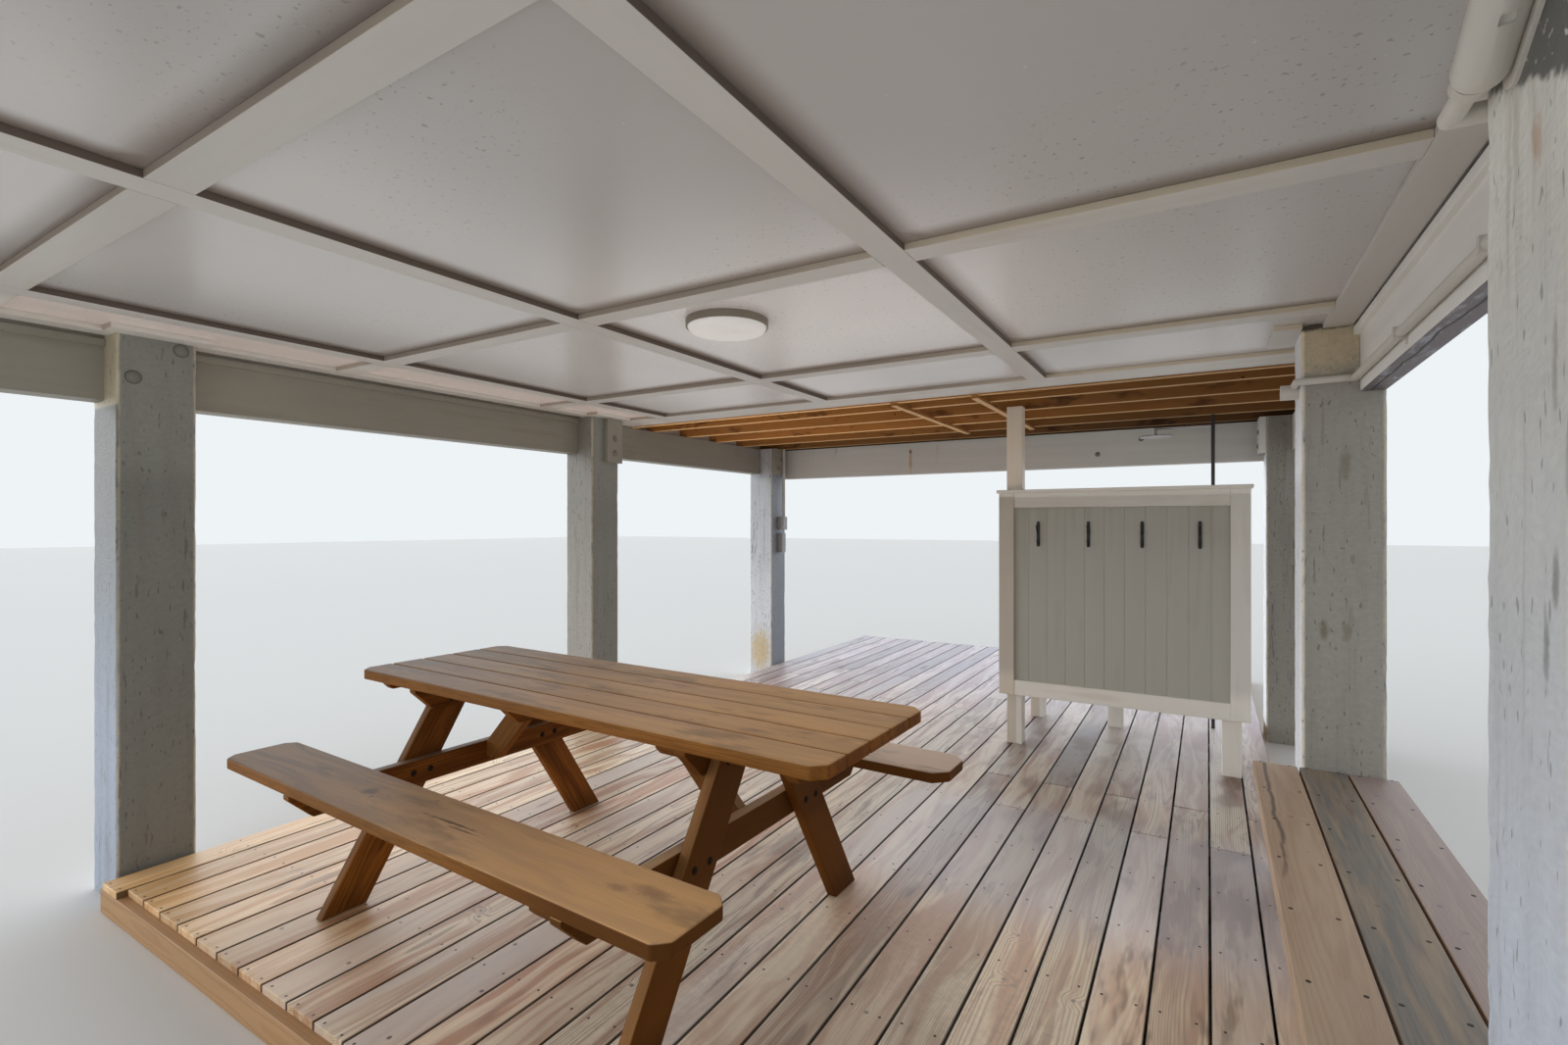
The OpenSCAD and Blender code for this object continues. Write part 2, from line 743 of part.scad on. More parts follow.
// A strap over the pipe with a flat foot above and below it
module conduit_strap(y, w) {
  reach = conduit_d + 5;
  x = right_beam_in - reach;
  foot_t = 3;
  foot_h = 15;
  half = conduit_d / 2 + 4 + foot_h;
  difference() {
    bar([x, y, conduit_z - half], [reach, w, 2 * half]);
    pipe([conduit_x, y - 1, conduit_z], [conduit_x, y + w + 1, conduit_z], conduit_d + 2 * fit);
    for (z = [conduit_z - half - 1, conduit_z + half - foot_h])
      bar([x - 1, y - 1, z], [reach + 1 - foot_t, w + 2, foot_h + 1]);
  }
}

// A ring round the wiring pipe where it runs along Y
module pipe_ring(x, y, l, d) {
  difference() {
    pipe([x, y, conduit_z], [x, y + l, conduit_z], d);
    pipe([x, y - 1, conduit_z], [x, y + l + 1, conduit_z], conduit_d + 2 * fit);
  }
}

// The junction body's outline, rising from the origin along Z
module junction_outline(r, l, thick) {
  rotate([0, 90, 0]) linear_extrude(thick) {
    circle(r = r);
    translate([-l, 0]) circle(r = r);
    translate([-l, -r]) square([l, 2 * r]);
  }
}

// A long round-ended body on a flange, with a shallow square recess in its lower side
module junction_body() {
  r = junction_w / 2;
  l = junction_l - junction_w;
  recess = [14, 5, 13];
  rim = 3;
  difference() {
    union() {
      cylinder(r = r, h = l);
      for (z = [0, l]) translate([0, 0, z]) sphere(r = r);
    }
    bar([-recess[0] / 4, -r - 1, l * 0.35], recess + [0, 1, 0]);
    bar([r - flange_sink, -r, -r], [r, 2 * r, l + 2 * r]);
  }
  translate([r - flange_sink, 0, 0]) junction_outline(r + rim, l, flange_t);
}

// Junction body on the second post, coupling, straps, and the round box on the third post
module conduit_fittings() {
  strap_w = 14;
  coupling_l = 70;
  coupling_d = conduit_d + 3;
  hub_l = 20;
  hub_d = conduit_d + 14;
  hub_sink = 6;
  box_y = right_row_y[2] + box_in + wire_box / 2;
  box_z = conduit_z - 20;
  strap_y = bench_y0 + strap_start;
  color("#d9d8d3") {
    translate([junction_x, junction_y, conduit_z]) rotate([90 - junction_slope, 0, 0]) junction_body();
    pipe_ring(junction_x, junction_y + junction_w / 2 - hub_sink, hub_l, hub_d);
    pipe_ring(conduit_x, strap_y - coupling_l - fit, coupling_l, coupling_d);
    for (y = [strap_y : strap_pitch : right_row_y[2] - 3 * strap_w]) conduit_strap(y, strap_w);
    pipe([right_in - wire_box, box_y, box_z], [right_in, box_y, box_z], wire_box);
  }
}

// Wiring pipe down the inner face of the last left post
module outlet_conduit() {
  x = post_w + plank_t + conduit_d / 2;
  color("#a9abad")
    pipe([x, row_y[3] + outlet_y, deck_h + outlet_high], [x, row_y[3] + outlet_y, beam_top], conduit_d);
}

module outlet_boxes() {
  upper = [70, 70, 125];
  lower = [55, 64, 185];
  gap = 30;
  y = row_y[3] + outlet_y;
  upper_z = deck_h + outlet_high - upper[2];
  lower_z = upper_z - gap - lower[2];
  color("#b3b5b6") {
    bar([post_w, y - upper[1] / 2, upper_z], upper);
    bar([post_w, y - lower[1] / 2, lower_z], lower);
  }
}

// One board of the table top with its outer corner clipped
module top_board(k) {
  y0 = -table_w / 2 + k * (table_board_w + table_board_gap);
  clip = 35;
  clip_near = k == 0 ? clip : 0;
  clip_far = k == table_boards - 1 ? clip : 0;
  half = table_l / 2;
  translate([0, y0, table_under]) linear_extrude(plank_t) polygon([
    [-half + clip_near, 0], [half - clip_near, 0], [half, clip_near],
    [half, table_board_w - clip_far], [half - clip_far, table_board_w],
    [-half + clip_far, table_board_w], [-half, table_board_w - clip_far], [-half, clip_near]]);
}

module table_top() {
  color("#a97a45") on_table() translate([top_shift, 0, 0])
    for (k = [0 : table_boards - 1]) top_board(k);
}

// A cross piece with its lower corners cut away, centred on the table
module bevelled_cross(x, l, d, z_top, cut, t = plank_t) {
  translate([x, 0, z_top - d]) rotate([90, 0, 90]) linear_extrude(t)
    polygon([[-l / 2 + cut, 0], [l / 2 - cut, 0], [l / 2, cut], [l / 2, d], [-l / 2, d], [-l / 2, cut]]);
}

// Cross pieces under the top: one at each pair of legs, one beside the left brace, one at each end
// and one laid flat beside the right legs
module table_cleats() {
  end_x = table_l / 2 - 95 - plank_t;
  end_l = cleat_l - 60;
  flat_l = cleat_l - 40;
  middle_l = cleat_l - 160;
  color("#9c6b38") on_table() {
    for (x = [-leg_in - plank_t, leg_in]) bevelled_cross(x, cleat_l, cleat_d, table_under, cross_cut);
    bevelled_cross(-brace_in, middle_l, cleat_d, table_under, middle_cut);
    bevelled_cross(leg_in - fit - flat_w, flat_l, plank_t, table_under, end_cut, flat_w);
    for (x = [-end_x - plank_t, end_x])
      bevelled_cross(top_shift + x, end_l, plank_t, table_under, end_cut);
  }
}

// A leg leaning inwards, cut level at its foot and head
module table_leg(x, side) {
  slope = (foot_out - leg_top_out) / table_under;
  w = table_leg_w * sqrt(1 + slope * slope);
  translate([x, 0, 0]) rotate([90, 0, 90]) linear_extrude(plank_t) polygon([
    [side * foot_out - w / 2, 0], [side * foot_out + w / 2, 0],
    [side * leg_top_out + w / 2, table_under], [side * leg_top_out - w / 2, table_under]]);
}

module table_legs() {
  color("#a5733c") on_table() for (x = [-frame_gap / 2 - plank_t / 2, frame_gap / 2 - plank_t / 2])
    for (side = [-1, 1]) table_leg(x, side);
}

// Long beams across the legs that carry the seats, and a flat piece under each seat at the right
module table_seat_beams() {
  l = 2 * seat_out + seat_w - 4;
  flat_l = seat_w - 30;
  color("#a5733c") on_table() {
    for (x = [-leg_in - plank_t, leg_in]) bevelled_cross(x, l, seat_beam_d, seat_under, cross_cut);
    for (side = [-1, 1]) translate([0, side * seat_out, 0])
      bevelled_cross(leg_in - fit - flat_w, flat_l, plank_t, seat_under, end_cut, flat_w);
  }
}

// Braces at half a right angle from the seat beams up to the underside of the top
module table_braces() {
  color("#9c6b38") on_table() for (side = [-1, 1])
    translate([0, plank_t / 2, 0]) rotate([90, 0, 0]) linear_extrude(plank_t) polygon([
      [side * brace_in, table_under], [side * (brace_in + brace_w), table_under],
      [side * leg_in, brace_low + brace_w - brace_foot], [side * leg_in, brace_low],
      [side * (leg_in - brace_foot), brace_low]]);
}

// A seat board with clipped corners
module seat(side, shift, c) {
  half = table_l / 2;
  edge = seat_w / 2;
  color("#b07f48") on_table() translate([shift, side * seat_out, seat_under])
    linear_extrude(plank_t) polygon([
      [-half + c, -edge], [half - c, -edge], [half, -edge + c], [half, edge - c],
      [half - c, edge], [-half + c, edge], [-half, edge - c], [-half, -edge + c]]);
}

placed() left_post(0);  // post_left_1
placed() left_post(1);  // post_left_2
placed() left_post(2);  // post_left_3
placed() left_post(3);  // post_left_4
placed() right_post(0);  // post_right_1
placed() right_post(1);  // post_right_2
placed() right_post(2);  // post_right_3
placed() right_post(3);  // post_right_4
placed() beam_left_house();
placed() beam_left_balcony();
placed() beam_right_house();
placed() beam_right_balcony();
placed() beam_far();
placed() beam_blocks();
placed() sill_plates();
placed() ceiling_panels();
placed() long_battens();
placed() cross_battens();
placed() border_battens();
placed() ceiling_edge_boards();
placed() post_trims();
placed() house_joists();
placed() house_side_rims();
placed() house_end_rims();
placed() subfloor();
placed() balcony_joists();
placed() balcony_side_rims();
placed() balcony_boards();
placed() joist_strips();
placed() deck_boards();
placed() deck_end_rims();
placed() deck_side_rims();
placed() deck_sleepers();
placed() bench_boards();
placed() bench_rails();
placed() bench_legs();
placed() screen_stiles();
placed() screen_rails();
placed() screen_boards();
placed() screen_cap();
placed() screen_posts();
placed() screen_returns();
placed() coat_hooks();
placed() shower_pipe();
placed() shower_head();
placed() light_base();
placed() light_diffuser();
placed() beam_conduit();
placed() conduit_fittings();
placed() outlet_conduit();
placed() outlet_boxes();
placed() table_top();
placed() table_cleats();
placed() table_legs();
placed() table_seat_beams();
placed() table_braces();
placed() seat(-1, -seat_shift, near_clip);  // seat_near
placed() seat(1, top_shift, far_clip);  // seat_far
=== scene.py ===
"""Looks of an open ground storey of a raised timber house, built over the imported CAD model.
Every timber gets eased edges, its own grain direction and its own tone, and small fixings are added."""
import json
import math
import random

import bmesh
import bpy
from mathutils import Matrix, Vector, noise


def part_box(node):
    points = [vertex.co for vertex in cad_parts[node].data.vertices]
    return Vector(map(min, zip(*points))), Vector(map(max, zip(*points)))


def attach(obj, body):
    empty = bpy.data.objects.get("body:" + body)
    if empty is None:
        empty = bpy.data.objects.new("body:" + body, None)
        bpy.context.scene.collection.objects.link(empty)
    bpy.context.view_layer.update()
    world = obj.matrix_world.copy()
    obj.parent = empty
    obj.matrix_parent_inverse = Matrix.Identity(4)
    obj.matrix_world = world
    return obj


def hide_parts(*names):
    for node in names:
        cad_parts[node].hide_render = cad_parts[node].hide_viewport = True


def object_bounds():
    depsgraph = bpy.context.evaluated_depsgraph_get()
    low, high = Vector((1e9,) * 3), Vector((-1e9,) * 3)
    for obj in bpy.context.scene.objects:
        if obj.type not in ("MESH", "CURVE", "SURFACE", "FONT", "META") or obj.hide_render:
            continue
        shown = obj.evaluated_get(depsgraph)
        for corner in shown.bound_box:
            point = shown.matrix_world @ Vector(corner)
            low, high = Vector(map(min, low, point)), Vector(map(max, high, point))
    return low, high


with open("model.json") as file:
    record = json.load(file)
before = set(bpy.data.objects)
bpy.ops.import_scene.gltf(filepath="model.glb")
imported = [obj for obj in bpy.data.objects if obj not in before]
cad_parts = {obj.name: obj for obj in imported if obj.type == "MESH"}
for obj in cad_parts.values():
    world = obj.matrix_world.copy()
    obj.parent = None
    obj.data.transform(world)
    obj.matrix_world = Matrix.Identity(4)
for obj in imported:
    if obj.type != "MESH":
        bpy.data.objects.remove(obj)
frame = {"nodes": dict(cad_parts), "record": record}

CAD_LOW, CAD_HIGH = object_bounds()
SLOT_OF = {part["node"]: part["material_slot"] for part in frame["record"]["subparts"]}

# Sizes in metres, angles and one share
MERGE = 2e-5
FLAT_ANGLE = math.radians(1)
EDGE_ANGLE = math.radians(28)
SHARP_ANGLE = math.radians(50)
TABLE_TURN = math.radians(-1.8)
KNOT_SPACING = 0.25
KNOT_REACH = 0.05
KNOT_CORE = 0.009
# how far the painted shadow beside a batten reaches on the ceiling
BATTEN_SHADOW_REACH = 0.085
FIBRE_DEPTH = 0.0008
SCUFF_DEPTH = 0.0003
FLAT_SAWN_SHARE = 0.62
POST_CUT = 0.03
POST_WEAR = 0.006
BLOCK_THICK = 0.038
DECK_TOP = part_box("deck_boards")[1].z
FAR_BEAM_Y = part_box("beam_far")[0].y
RIGHT_BEAM_LOW, RIGHT_BEAM_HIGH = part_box("beam_right_house")
RIGHT_BEAM_X = (RIGHT_BEAM_LOW.x + RIGHT_BEAM_HIGH.x) / 2
BENCH_LOW, BENCH_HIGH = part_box("bench_boards")


def plan(x, y, z):
    """A place from plan metres: across from the left posts, along from the near posts, up."""
    return Vector((CAD_LOW.x + x, CAD_LOW.y + y, z))


# Numbers and colours that vary over a surface

def srgb(red, green, blue):
    """A colour given as a screen shows it, 0 to 255, turned into linear light."""
    parts = [c / 255 for c in (red, green, blue)]
    return tuple(c / 12.92 if c <= 0.04045 else ((c + 0.055) / 1.055) ** 2.4 for c in parts) + (1.0,)


class Field:
    """A number that varies over a surface. Arithmetic on it adds Math nodes."""

    def __init__(self, graph, socket):
        self.graph = graph
        self.socket = socket

    def math(self, operation, *values):
        return self.graph.math(operation, self, *values)

    def __add__(self, other):
        return self.math("ADD", other)

    def __sub__(self, other):
        return self.math("SUBTRACT", other)

    def __rsub__(self, other):
        return self.graph.math("SUBTRACT", other, self)

    def __mul__(self, other):
        return self.math("MULTIPLY", other)

    def __truediv__(self, other):
        return self.math("DIVIDE", other)

    def __abs__(self):
        return self.math("ABSOLUTE")

    __radd__ = __add__
    __rmul__ = __mul__

    def smooth(self, low, high, to_low=0.0, to_high=1.0):
        """Goes softly from to_low to to_high as the number goes from low to high."""
        node = self.graph.add("MapRange", interpolation_type="SMOOTHSTEP")
        values = (self, low, high, to_low, to_high)
        for socket, value in zip(node.inputs, values):
            self.graph.feed(socket, value)
        return Field(self.graph, node.outputs[0])


class Graph:
    """A material or surround in the making. Each call adds a node and gives back its output."""

    def __init__(self, name):
        self.own(bpy.data.materials.new(name), "Principled BSDF")

    def own(self, block, shader):
        block.use_nodes = True
        self.material = block
        self.tree = block.node_tree
        self.shader = self.tree.nodes[shader]

    def add(self, kind, **settings):
        node = self.tree.nodes.new("ShaderNode" + kind)
        for key, value in settings.items():
            setattr(node, key, value)
        return node

    def feed(self, socket, value):
        if isinstance(value, Field):
            value = value.socket
        if isinstance(value, bpy.types.NodeSocket):
            self.tree.links.new(value, socket)
        else:
            socket.default_value = value

    def math(self, operation, *values):
        node = self.add("Math", operation=operation)
        for socket, value in zip(node.inputs, values):
            self.feed(socket, value)
        return Field(self, node.outputs[0])

    def attribute(self, name):
        return self.split(self.add("Attribute", attribute_name=name).outputs["Vector"])

    def position(self):
        return self.split(self.add("NewGeometry").outputs["Position"])

    def split(self, vector):
        node = self.add("SeparateXYZ")
        self.feed(node.inputs[0], vector)
        return [Field(self, socket) for socket in node.outputs]

    def join(self, x, y, z):
        node = self.add("CombineXYZ")
        for socket, value in zip(node.inputs, (x, y, z)):
            self.feed(socket, value)
        return node.outputs[0]

    def noise(self, x, y, z, detail=2.0, roughness=0.5, distortion=0.0):
        node = self.add("TexNoise")
        self.feed(node.inputs["Vector"], self.join(x, y, z))
        settings = {"Scale": 1.0, "Detail": detail, "Roughness": roughness, "Distortion": distortion}
        for key, value in settings.items():
            node.inputs[key].default_value = value
        return Field(self, node.outputs[0])

    def cells(self, x, y):
        """Distance to the nearest of scattered points, and a random number for that point."""
        node = self.add("TexVoronoi", voronoi_dimensions="2D")
        self.feed(node.inputs["Vector"], self.join(x, y, 0.0))
        node.inputs["Scale"].default_value = 1.0
        return Field(self, node.outputs["Distance"]), self.split(node.outputs["Color"])[0]

    def random(self, value):
        node = self.add("TexWhiteNoise", noise_dimensions="1D")
        self.feed(node.inputs["W"], value)
        return Field(self, node.outputs[0])

    def mix(self, share, first, second, blend="MIX"):
        node = self.add("Mix", data_type="RGBA", blend_type=blend)
        for index, value in ((0, share), (6, first), (7, second)):
            self.feed(node.inputs[index], value)
        return node.outputs[2]

    def tone(self, colour, factor):
        """The colour made lighter or darker by a factor that varies."""
        grey = self.join(factor, factor, factor)
        return self.mix(1.0, colour, grey, "MULTIPLY")

    def bump(self, height, depth, strength=1.0):
        node = self.add("Bump")
        node.inputs["Strength"].default_value = strength
        node.inputs["Distance"].default_value = depth
        self.feed(node.inputs["Height"], height)
        self.feed(self.shader.inputs["Normal"], node.outputs[0])

    def finish(self, colour, roughness, specular=0.5):
        self.feed(self.shader.inputs["Base Color"], colour)
        self.feed(self.shader.inputs["Roughness"], roughness)
        self.shader.inputs["Specular IOR Level"].default_value = specular
        return self.material


def knots(graph, along, across, share):
    """Scattered knots: how much is knot, how far the rings bend round it."""
    distance, lot = graph.cells(along / KNOT_SPACING, across / KNOT_SPACING)
    there = lot.smooth(1 - share, 1 - share + 0.02)
    away = distance * KNOT_SPACING
    core = away.smooth(KNOT_CORE, 0.004) * there
    bend = away.smooth(KNOT_REACH, 0.0) * there
    return core, bend


# Ranges for a number of facing(): looking along an axis, against it, or quite squarely against it
TOWARDS = (0.3, 0.8)
AGAINST = (-0.3, -0.8)
SQUARELY_AGAINST = (-0.5, -0.8)


def facing(g):
    """The side a surface looks to, as three numbers from -1 to 1."""
    return g.split(g.add("NewGeometry").outputs["Normal"])


REDDER = srgb(226, 176, 140)
KNOT_BROWN = srgb(70, 38, 22)


def marbling(g, along, across, deep, lot):
    """Long soft patches that run with the grain, from 0 to 1, shifted by a board's own number."""
    wander = g.noise(along * 1.6, across * 5, lot * 30, detail=1) - 0.5
    patch = g.noise(along * 1.3 + wander * 0.8, across * 17 + wander * 3, deep * 12 + lot * 50,
                    detail=3, roughness=0.6)
    return patch.smooth(0.36, 0.66)


def wood(name, pale, dark, grey, ring=0.0052, ring_share=0.6, spread=0.3, weather=0.3,
         roughness=0.6, specular=0.35, knot_share=0.35, warm=None, warm_share=0.5, extra=None):
    """Sawn timber: rings round a hidden pith, fibres, knots, greying that differs by board, and warm
    patches where a warm colour is given. extra adds the marks of one kind of timber."""
    g = Graph(name)
    along, across, deep = g.attribute("grain")
    shade, hue, age = g.attribute("tint")
    core, bend = knots(g, along, across, knot_share)
    drift = g.noise(along * 0.7, across * 3.5, deep * 3.5, detail=1) - 0.5
    ripple = g.noise(along * 5, across * 28, deep * 28, detail=1) - 0.5
    radius = (across * across + deep * deep).math("SQRT")
    phase = (radius + drift * 0.07 + ripple * 0.004) / ring + bend * 2.2
    band = phase.math("FRACT")
    late = band.smooth(0.3, 0.86) * band.smooth(1.0, 0.9)
    late = late * (0.4 + 0.6 * g.random(phase.math("FLOOR")))
    fibre = g.noise(along * 7, across * 380, deep * 380, detail=2, roughness=0.6)
    patch = g.noise(along * 1.1, across * 7, deep * 7, detail=2)
    colour = pale
    if warm:
        share = marbling(g, along, across, deep, hue)
        colour = g.mix((share + hue * 0.5 - 0.25).smooth(0.0, 1.0) * warm_share, pale, warm)
    colour = g.mix(late * ring_share, colour, dark)
    redder = g.mix(1.0, colour, REDDER, "MULTIPLY")
    colour = g.mix(hue * 0.3, colour, redder)
    greying = (age + patch - 0.5).smooth(0.9 - weather, 1.5 - weather)
    colour = g.mix(greying, colour, grey)
    colour = g.mix(core * 0.85, colour, KNOT_BROWN)
    light = (1 - spread / 2 + shade * spread) * (0.86 + fibre * 0.28) * (0.88 + patch * 0.24)
    if extra:
        colour, light = extra(g, colour, light)
    colour = g.tone(colour, light)
    g.bump(fibre, FIBRE_DEPTH)
    rough = roughness + (fibre - 0.5) * 0.25 + greying * 0.08
    return g.finish(colour, rough, specular)


def paint(name, colour, dirt, roughness=0.5, mottle=0.12, streaks=0.15, texture=0.0006, specular=0.4,
          stained=0.35, extra=None, saw=0.0, sawn_share=0.7):
    """Brushed paint over timber: soft mottling, run marks along the grain, and sawn texture showing
    through, with cuts across the grain where saw is given. extra adds the marks of one kind of part."""
    g = Graph(name)
    along, across, deep = g.attribute("grain")
    shade = g.attribute("tint")[0]
    x, y, z = g.position()
    cloud = g.noise(x * 2.1, y * 2.1, z * 2.1, detail=2, roughness=0.6)
    streak = g.noise(along * 1.3, across * 22, deep * 22, detail=2)
    ripple = g.noise(x * 60, y * 60, z * 60, detail=2)
    mottled = 1 - mottle / 2 + cloud * mottle
    streaked = 1 - streaks / 2 + streak * streaks
    light = mottled * streaked * (0.97 + shade * 0.06)
    stain = (streak * 0.5 + cloud * 0.5).smooth(0.52, 0.68)
    colour = g.mix(stain * stained, colour, dirt)
    if extra:
        colour, light = extra(g, colour, light)
    height = ripple * 0.5
    if sawn_share:
        sawn = g.noise(along * 26, across * 130, deep * 130, detail=2, roughness=0.65)
        height = height + sawn * sawn_share
    if saw:
        wander = g.noise(along * 4, across * 9, deep * 9, detail=1)
        cut = g.noise((along + across * 0.4 + wander * 0.12) * 120, across * 26, deep * 26, detail=2)
        height = height + cut * 0.6
        light = light * ((cut - 0.5) * saw + (ripple - 0.5) * saw + 1)
    colour = g.tone(colour, light)
    g.bump(height, texture)
    return g.finish(colour, roughness + (ripple - 0.5) * roughness * 0.2, specular)


def metal(name, colour, roughness, metallic=0.0, specular=0.5, glow=0.0):
    """Painted, coated or bare metal and plastic, with fine scuffs."""
    g = Graph(name)
    g.shader.inputs["Emission Strength"].default_value = glow
    x, y, z = g.position()
    cloud = g.noise(x * 9, y * 9, z * 9, detail=4)
    scuff = g.noise(x * 160, y * 160, z * 40, detail=3)
    g.shader.inputs["Metallic"].default_value = metallic
    g.bump(scuff * 0.6 + cloud * 0.4, SCUFF_DEPTH)
    return g.finish(g.tone(colour, 0.82 + cloud * 0.36), roughness + (scuff - 0.5) * 0.25, specular)


# Colours that wear and dirt give to a surface, and colours of painted light, shade and reflection

RUST = srgb(158, 104, 56)
MILDEW = srgb(52, 46, 38)
OLIVE = srgb(112, 104, 78)
YELLOWED = srgb(196, 170, 118)
DECK_SKY_REFLECTION = srgb(160, 162, 188)
DECK_GOLD = srgb(226, 174, 100)
DECK_PALE = srgb(246, 232, 212)
DECK_BLOT = srgb(104, 76, 56)
DECK_SOAKED = srgb(128, 92, 72)
DECK_BLEACHED = srgb(206, 204, 212)
TABLE_GREY = srgb(104, 97, 90)
TABLE_TAN = srgb(198, 160, 118)
TABLE_SMUDGE = srgb(92, 76, 60)
TABLE_OIL = srgb(198, 154, 72)
TABLE_EDGE = srgb(168, 118, 60)
TABLE_FIBRE = srgb(92, 54, 22)
TABLE_GOLD = srgb(166, 100, 30)
FAR_SEAT_GREY = srgb(204, 190, 180)
BENCH_TAN = srgb(206, 178, 150)
BENCH_MAUVE = srgb(166, 156, 160)
BENCH_STREAK_GREY = srgb(98, 100, 99)
BENCH_STREAK_TAN = srgb(156, 134, 108)
BENCH_ROT = srgb(96, 70, 54)
BENCH_CRACK = srgb(74, 62, 54)
BENCH_NICK = srgb(66, 50, 42)
# post colours of painted light and shade, by the side a face looks to
POST_DAYLIT = srgb(218, 219, 222)
POST_LIT_LOW_NEAR = srgb(200, 198, 190)
POST_LIT_LOW_OTHER = srgb(176, 184, 198)
POST_SHADE_RIGHT = srgb(137, 139, 132)
POST_SHADE_RIGHT_FAR = srgb(156, 164, 176)
POST_FRONT_SHADE = srgb(152, 146, 136)
POST_FRONT_FAR_LIT = srgb(216, 220, 226)
POST_FIRST_LOW_LIGHT = srgb(176, 192, 216)
POST_CREAM = srgb(232, 216, 182)
POST_RUN = srgb(120, 110, 92)
POST_CORNER = srgb(220, 210, 186)
POST_SPECK = srgb(88, 84, 78)
POST_SHADOW = srgb(92, 92, 88)
POST_PEELED = srgb(206, 204, 198)
BEAM_FAR = srgb(214, 212, 206)
BEAM_RIGHT = srgb(226, 224, 219)
BEAM_UNDER = srgb(112, 104, 108)
BEAM_UNDER_PALE = srgb(176, 180, 192)
BEAM_SPLIT = srgb(26, 22, 22)
BEAM_DRIP = srgb(156, 122, 82)
BATTEN_WARM_LIGHT_LEFT = srgb(156, 140, 124)
BATTEN_WARM_LIGHT_RIGHT = srgb(216, 200, 174)
BATTEN_SIDE_SHADE = srgb(92, 76, 62)
BATTEN_RUST = srgb(212, 146, 68)
JOIST_UNDER_LIT = srgb(216, 178, 122)
JOIST_SMEAR = srgb(84, 50, 26)
SCREEN_WARM = srgb(216, 196, 172)
CEILING_SPECK = srgb(120, 108, 96)
CEILING_LIT_STRIP = srgb(226, 206, 196)
CEILING_BATTEN_SHADOW = srgb(136, 116, 98)

# Places of single marks: where, how far they reach, their colour and how strong they are

# where the painted shadow of the table on the deck lies, and how far it reaches
TABLE_SHADOW_AT = plan(2.86, 3.05, DECK_TOP)
TABLE_SHADOW_REACH = (0.75, 0.8, 0.3)
BATTEN_RUST_AT = plan(4.08, 4.49, 2.145)
BATTEN_RUST_REACH = (0.06, 0.06, 0.04)
# where the painted shadow on the closest post's head starts, and how its lower edge slants
SHADOW_EDGE_FROM = plan(4.071, 2.386, 1.876)
SHADOW_EDGE_SLOPE = -0.41
# the middle of a painted sheen on the ceiling
CEILING_SHEEN_AT = plan(2.68, 3.62, 0)[:2]
SEAT_EDGE_Z = 0.614
NAIL_X = 1.534
BEAM_STAINS = [
    (plan(NAIL_X, FAR_BEAM_Y - CAD_LOW.y, 2.00), (0.022, 0.02, 0.14), srgb(188, 150, 88), 0.7),
    (plan(NAIL_X, FAR_BEAM_Y - CAD_LOW.y, 2.08), (0.016, 0.02, 0.03), srgb(96, 62, 36), 0.9),
]
TABLE_STAINS = [
    (plan(2.705, 2.624, SEAT_EDGE_Z), (0.07, 0.03, 0.03), srgb(104, 76, 58), 0.45),
    (plan(2.62, 2.60, SEAT_EDGE_Z), (0.04, 0.02, 0.03), srgb(104, 78, 60), 0.4),
    (plan(1.99, 2.616, SEAT_EDGE_Z), (0.16, 0.008, 0.03), srgb(64, 46, 36), 0.8),
    (plan(2.05, 2.600, SEAT_EDGE_Z), (0.10, 0.006, 0.03), srgb(64, 46, 36), 0.7),
    (plan(1.55, 2.63, SEAT_EDGE_Z), (0.05, 0.03, 0.03), srgb(82, 74, 66), 0.6),
    (plan(1.20, 2.66, SEAT_EDGE_Z), (0.08, 0.02, 0.03), srgb(82, 74, 66), 0.5),
]
POST_STAINS = [
    (plan(4.15, 4.67, 2.11), (0.22, 0.06, 0.17), srgb(222, 200, 160), 0.6),
    (plan(4.13, 4.67, 2.172), (0.16, 0.03, 0.02), MILDEW, 0.9),
    (plan(4.139, 4.67, 1.79), (0.008, 0.02, 0.12), OLIVE, 0.35),
    (plan(4.204, 4.67, 1.66), (0.025, 0.02, 0.08), OLIVE, 0.5),
    (plan(4.142, 4.67, 1.05), (0.02, 0.02, 0.05), OLIVE, 0.75),
    (plan(4.210, 4.67, 1.05), (0.02, 0.02, 0.05), OLIVE, 0.5),
    (plan(4.071, 2.431, 1.385), (0.02, 0.012, 0.045), MILDEW, 0.55),
    (plan(4.071, 2.453, 1.310), (0.02, 0.012, 0.055), MILDEW, 0.55),
    (plan(4.071, 2.432, 1.600), (0.02, 0.010, 0.080), OLIVE, 0.5),
    (plan(4.071, 2.480, 1.850), (0.02, 0.020, 0.050), RUST, 0.5),
    (plan(0.12, 7.055, 0.25), (0.16, 0.03, 0.28), YELLOWED, 0.8),
]


# What marks a surface: each function of marks takes its colour and light, and gives both back

def spot(g, place, reach):
    """One at a place of the row frame, falling off to nothing at the reach, ragged at its edge."""
    x, y, z = g.position()
    offset = [axis - value for axis, value in zip((x, y, z), place)]
    ragged = g.noise(x * 35, y * 35, z * 35, detail=3, roughness=0.7)
    squares = [part * part / (size * size) for part, size in zip(offset, reach)]
    distance = (squares[0] + squares[1] + squares[2]).math("SQRT")
    return (distance + (ragged - 0.5) * 1.1).smooth(1.0, 0.25)


def add_stains(g, colour, stains):
    """The colour with every stain of a list mixed in at its place."""
    for place, reach, stain, share in stains:
        colour = g.mix(spot(g, place, reach) * share, colour, stain)
    return colour


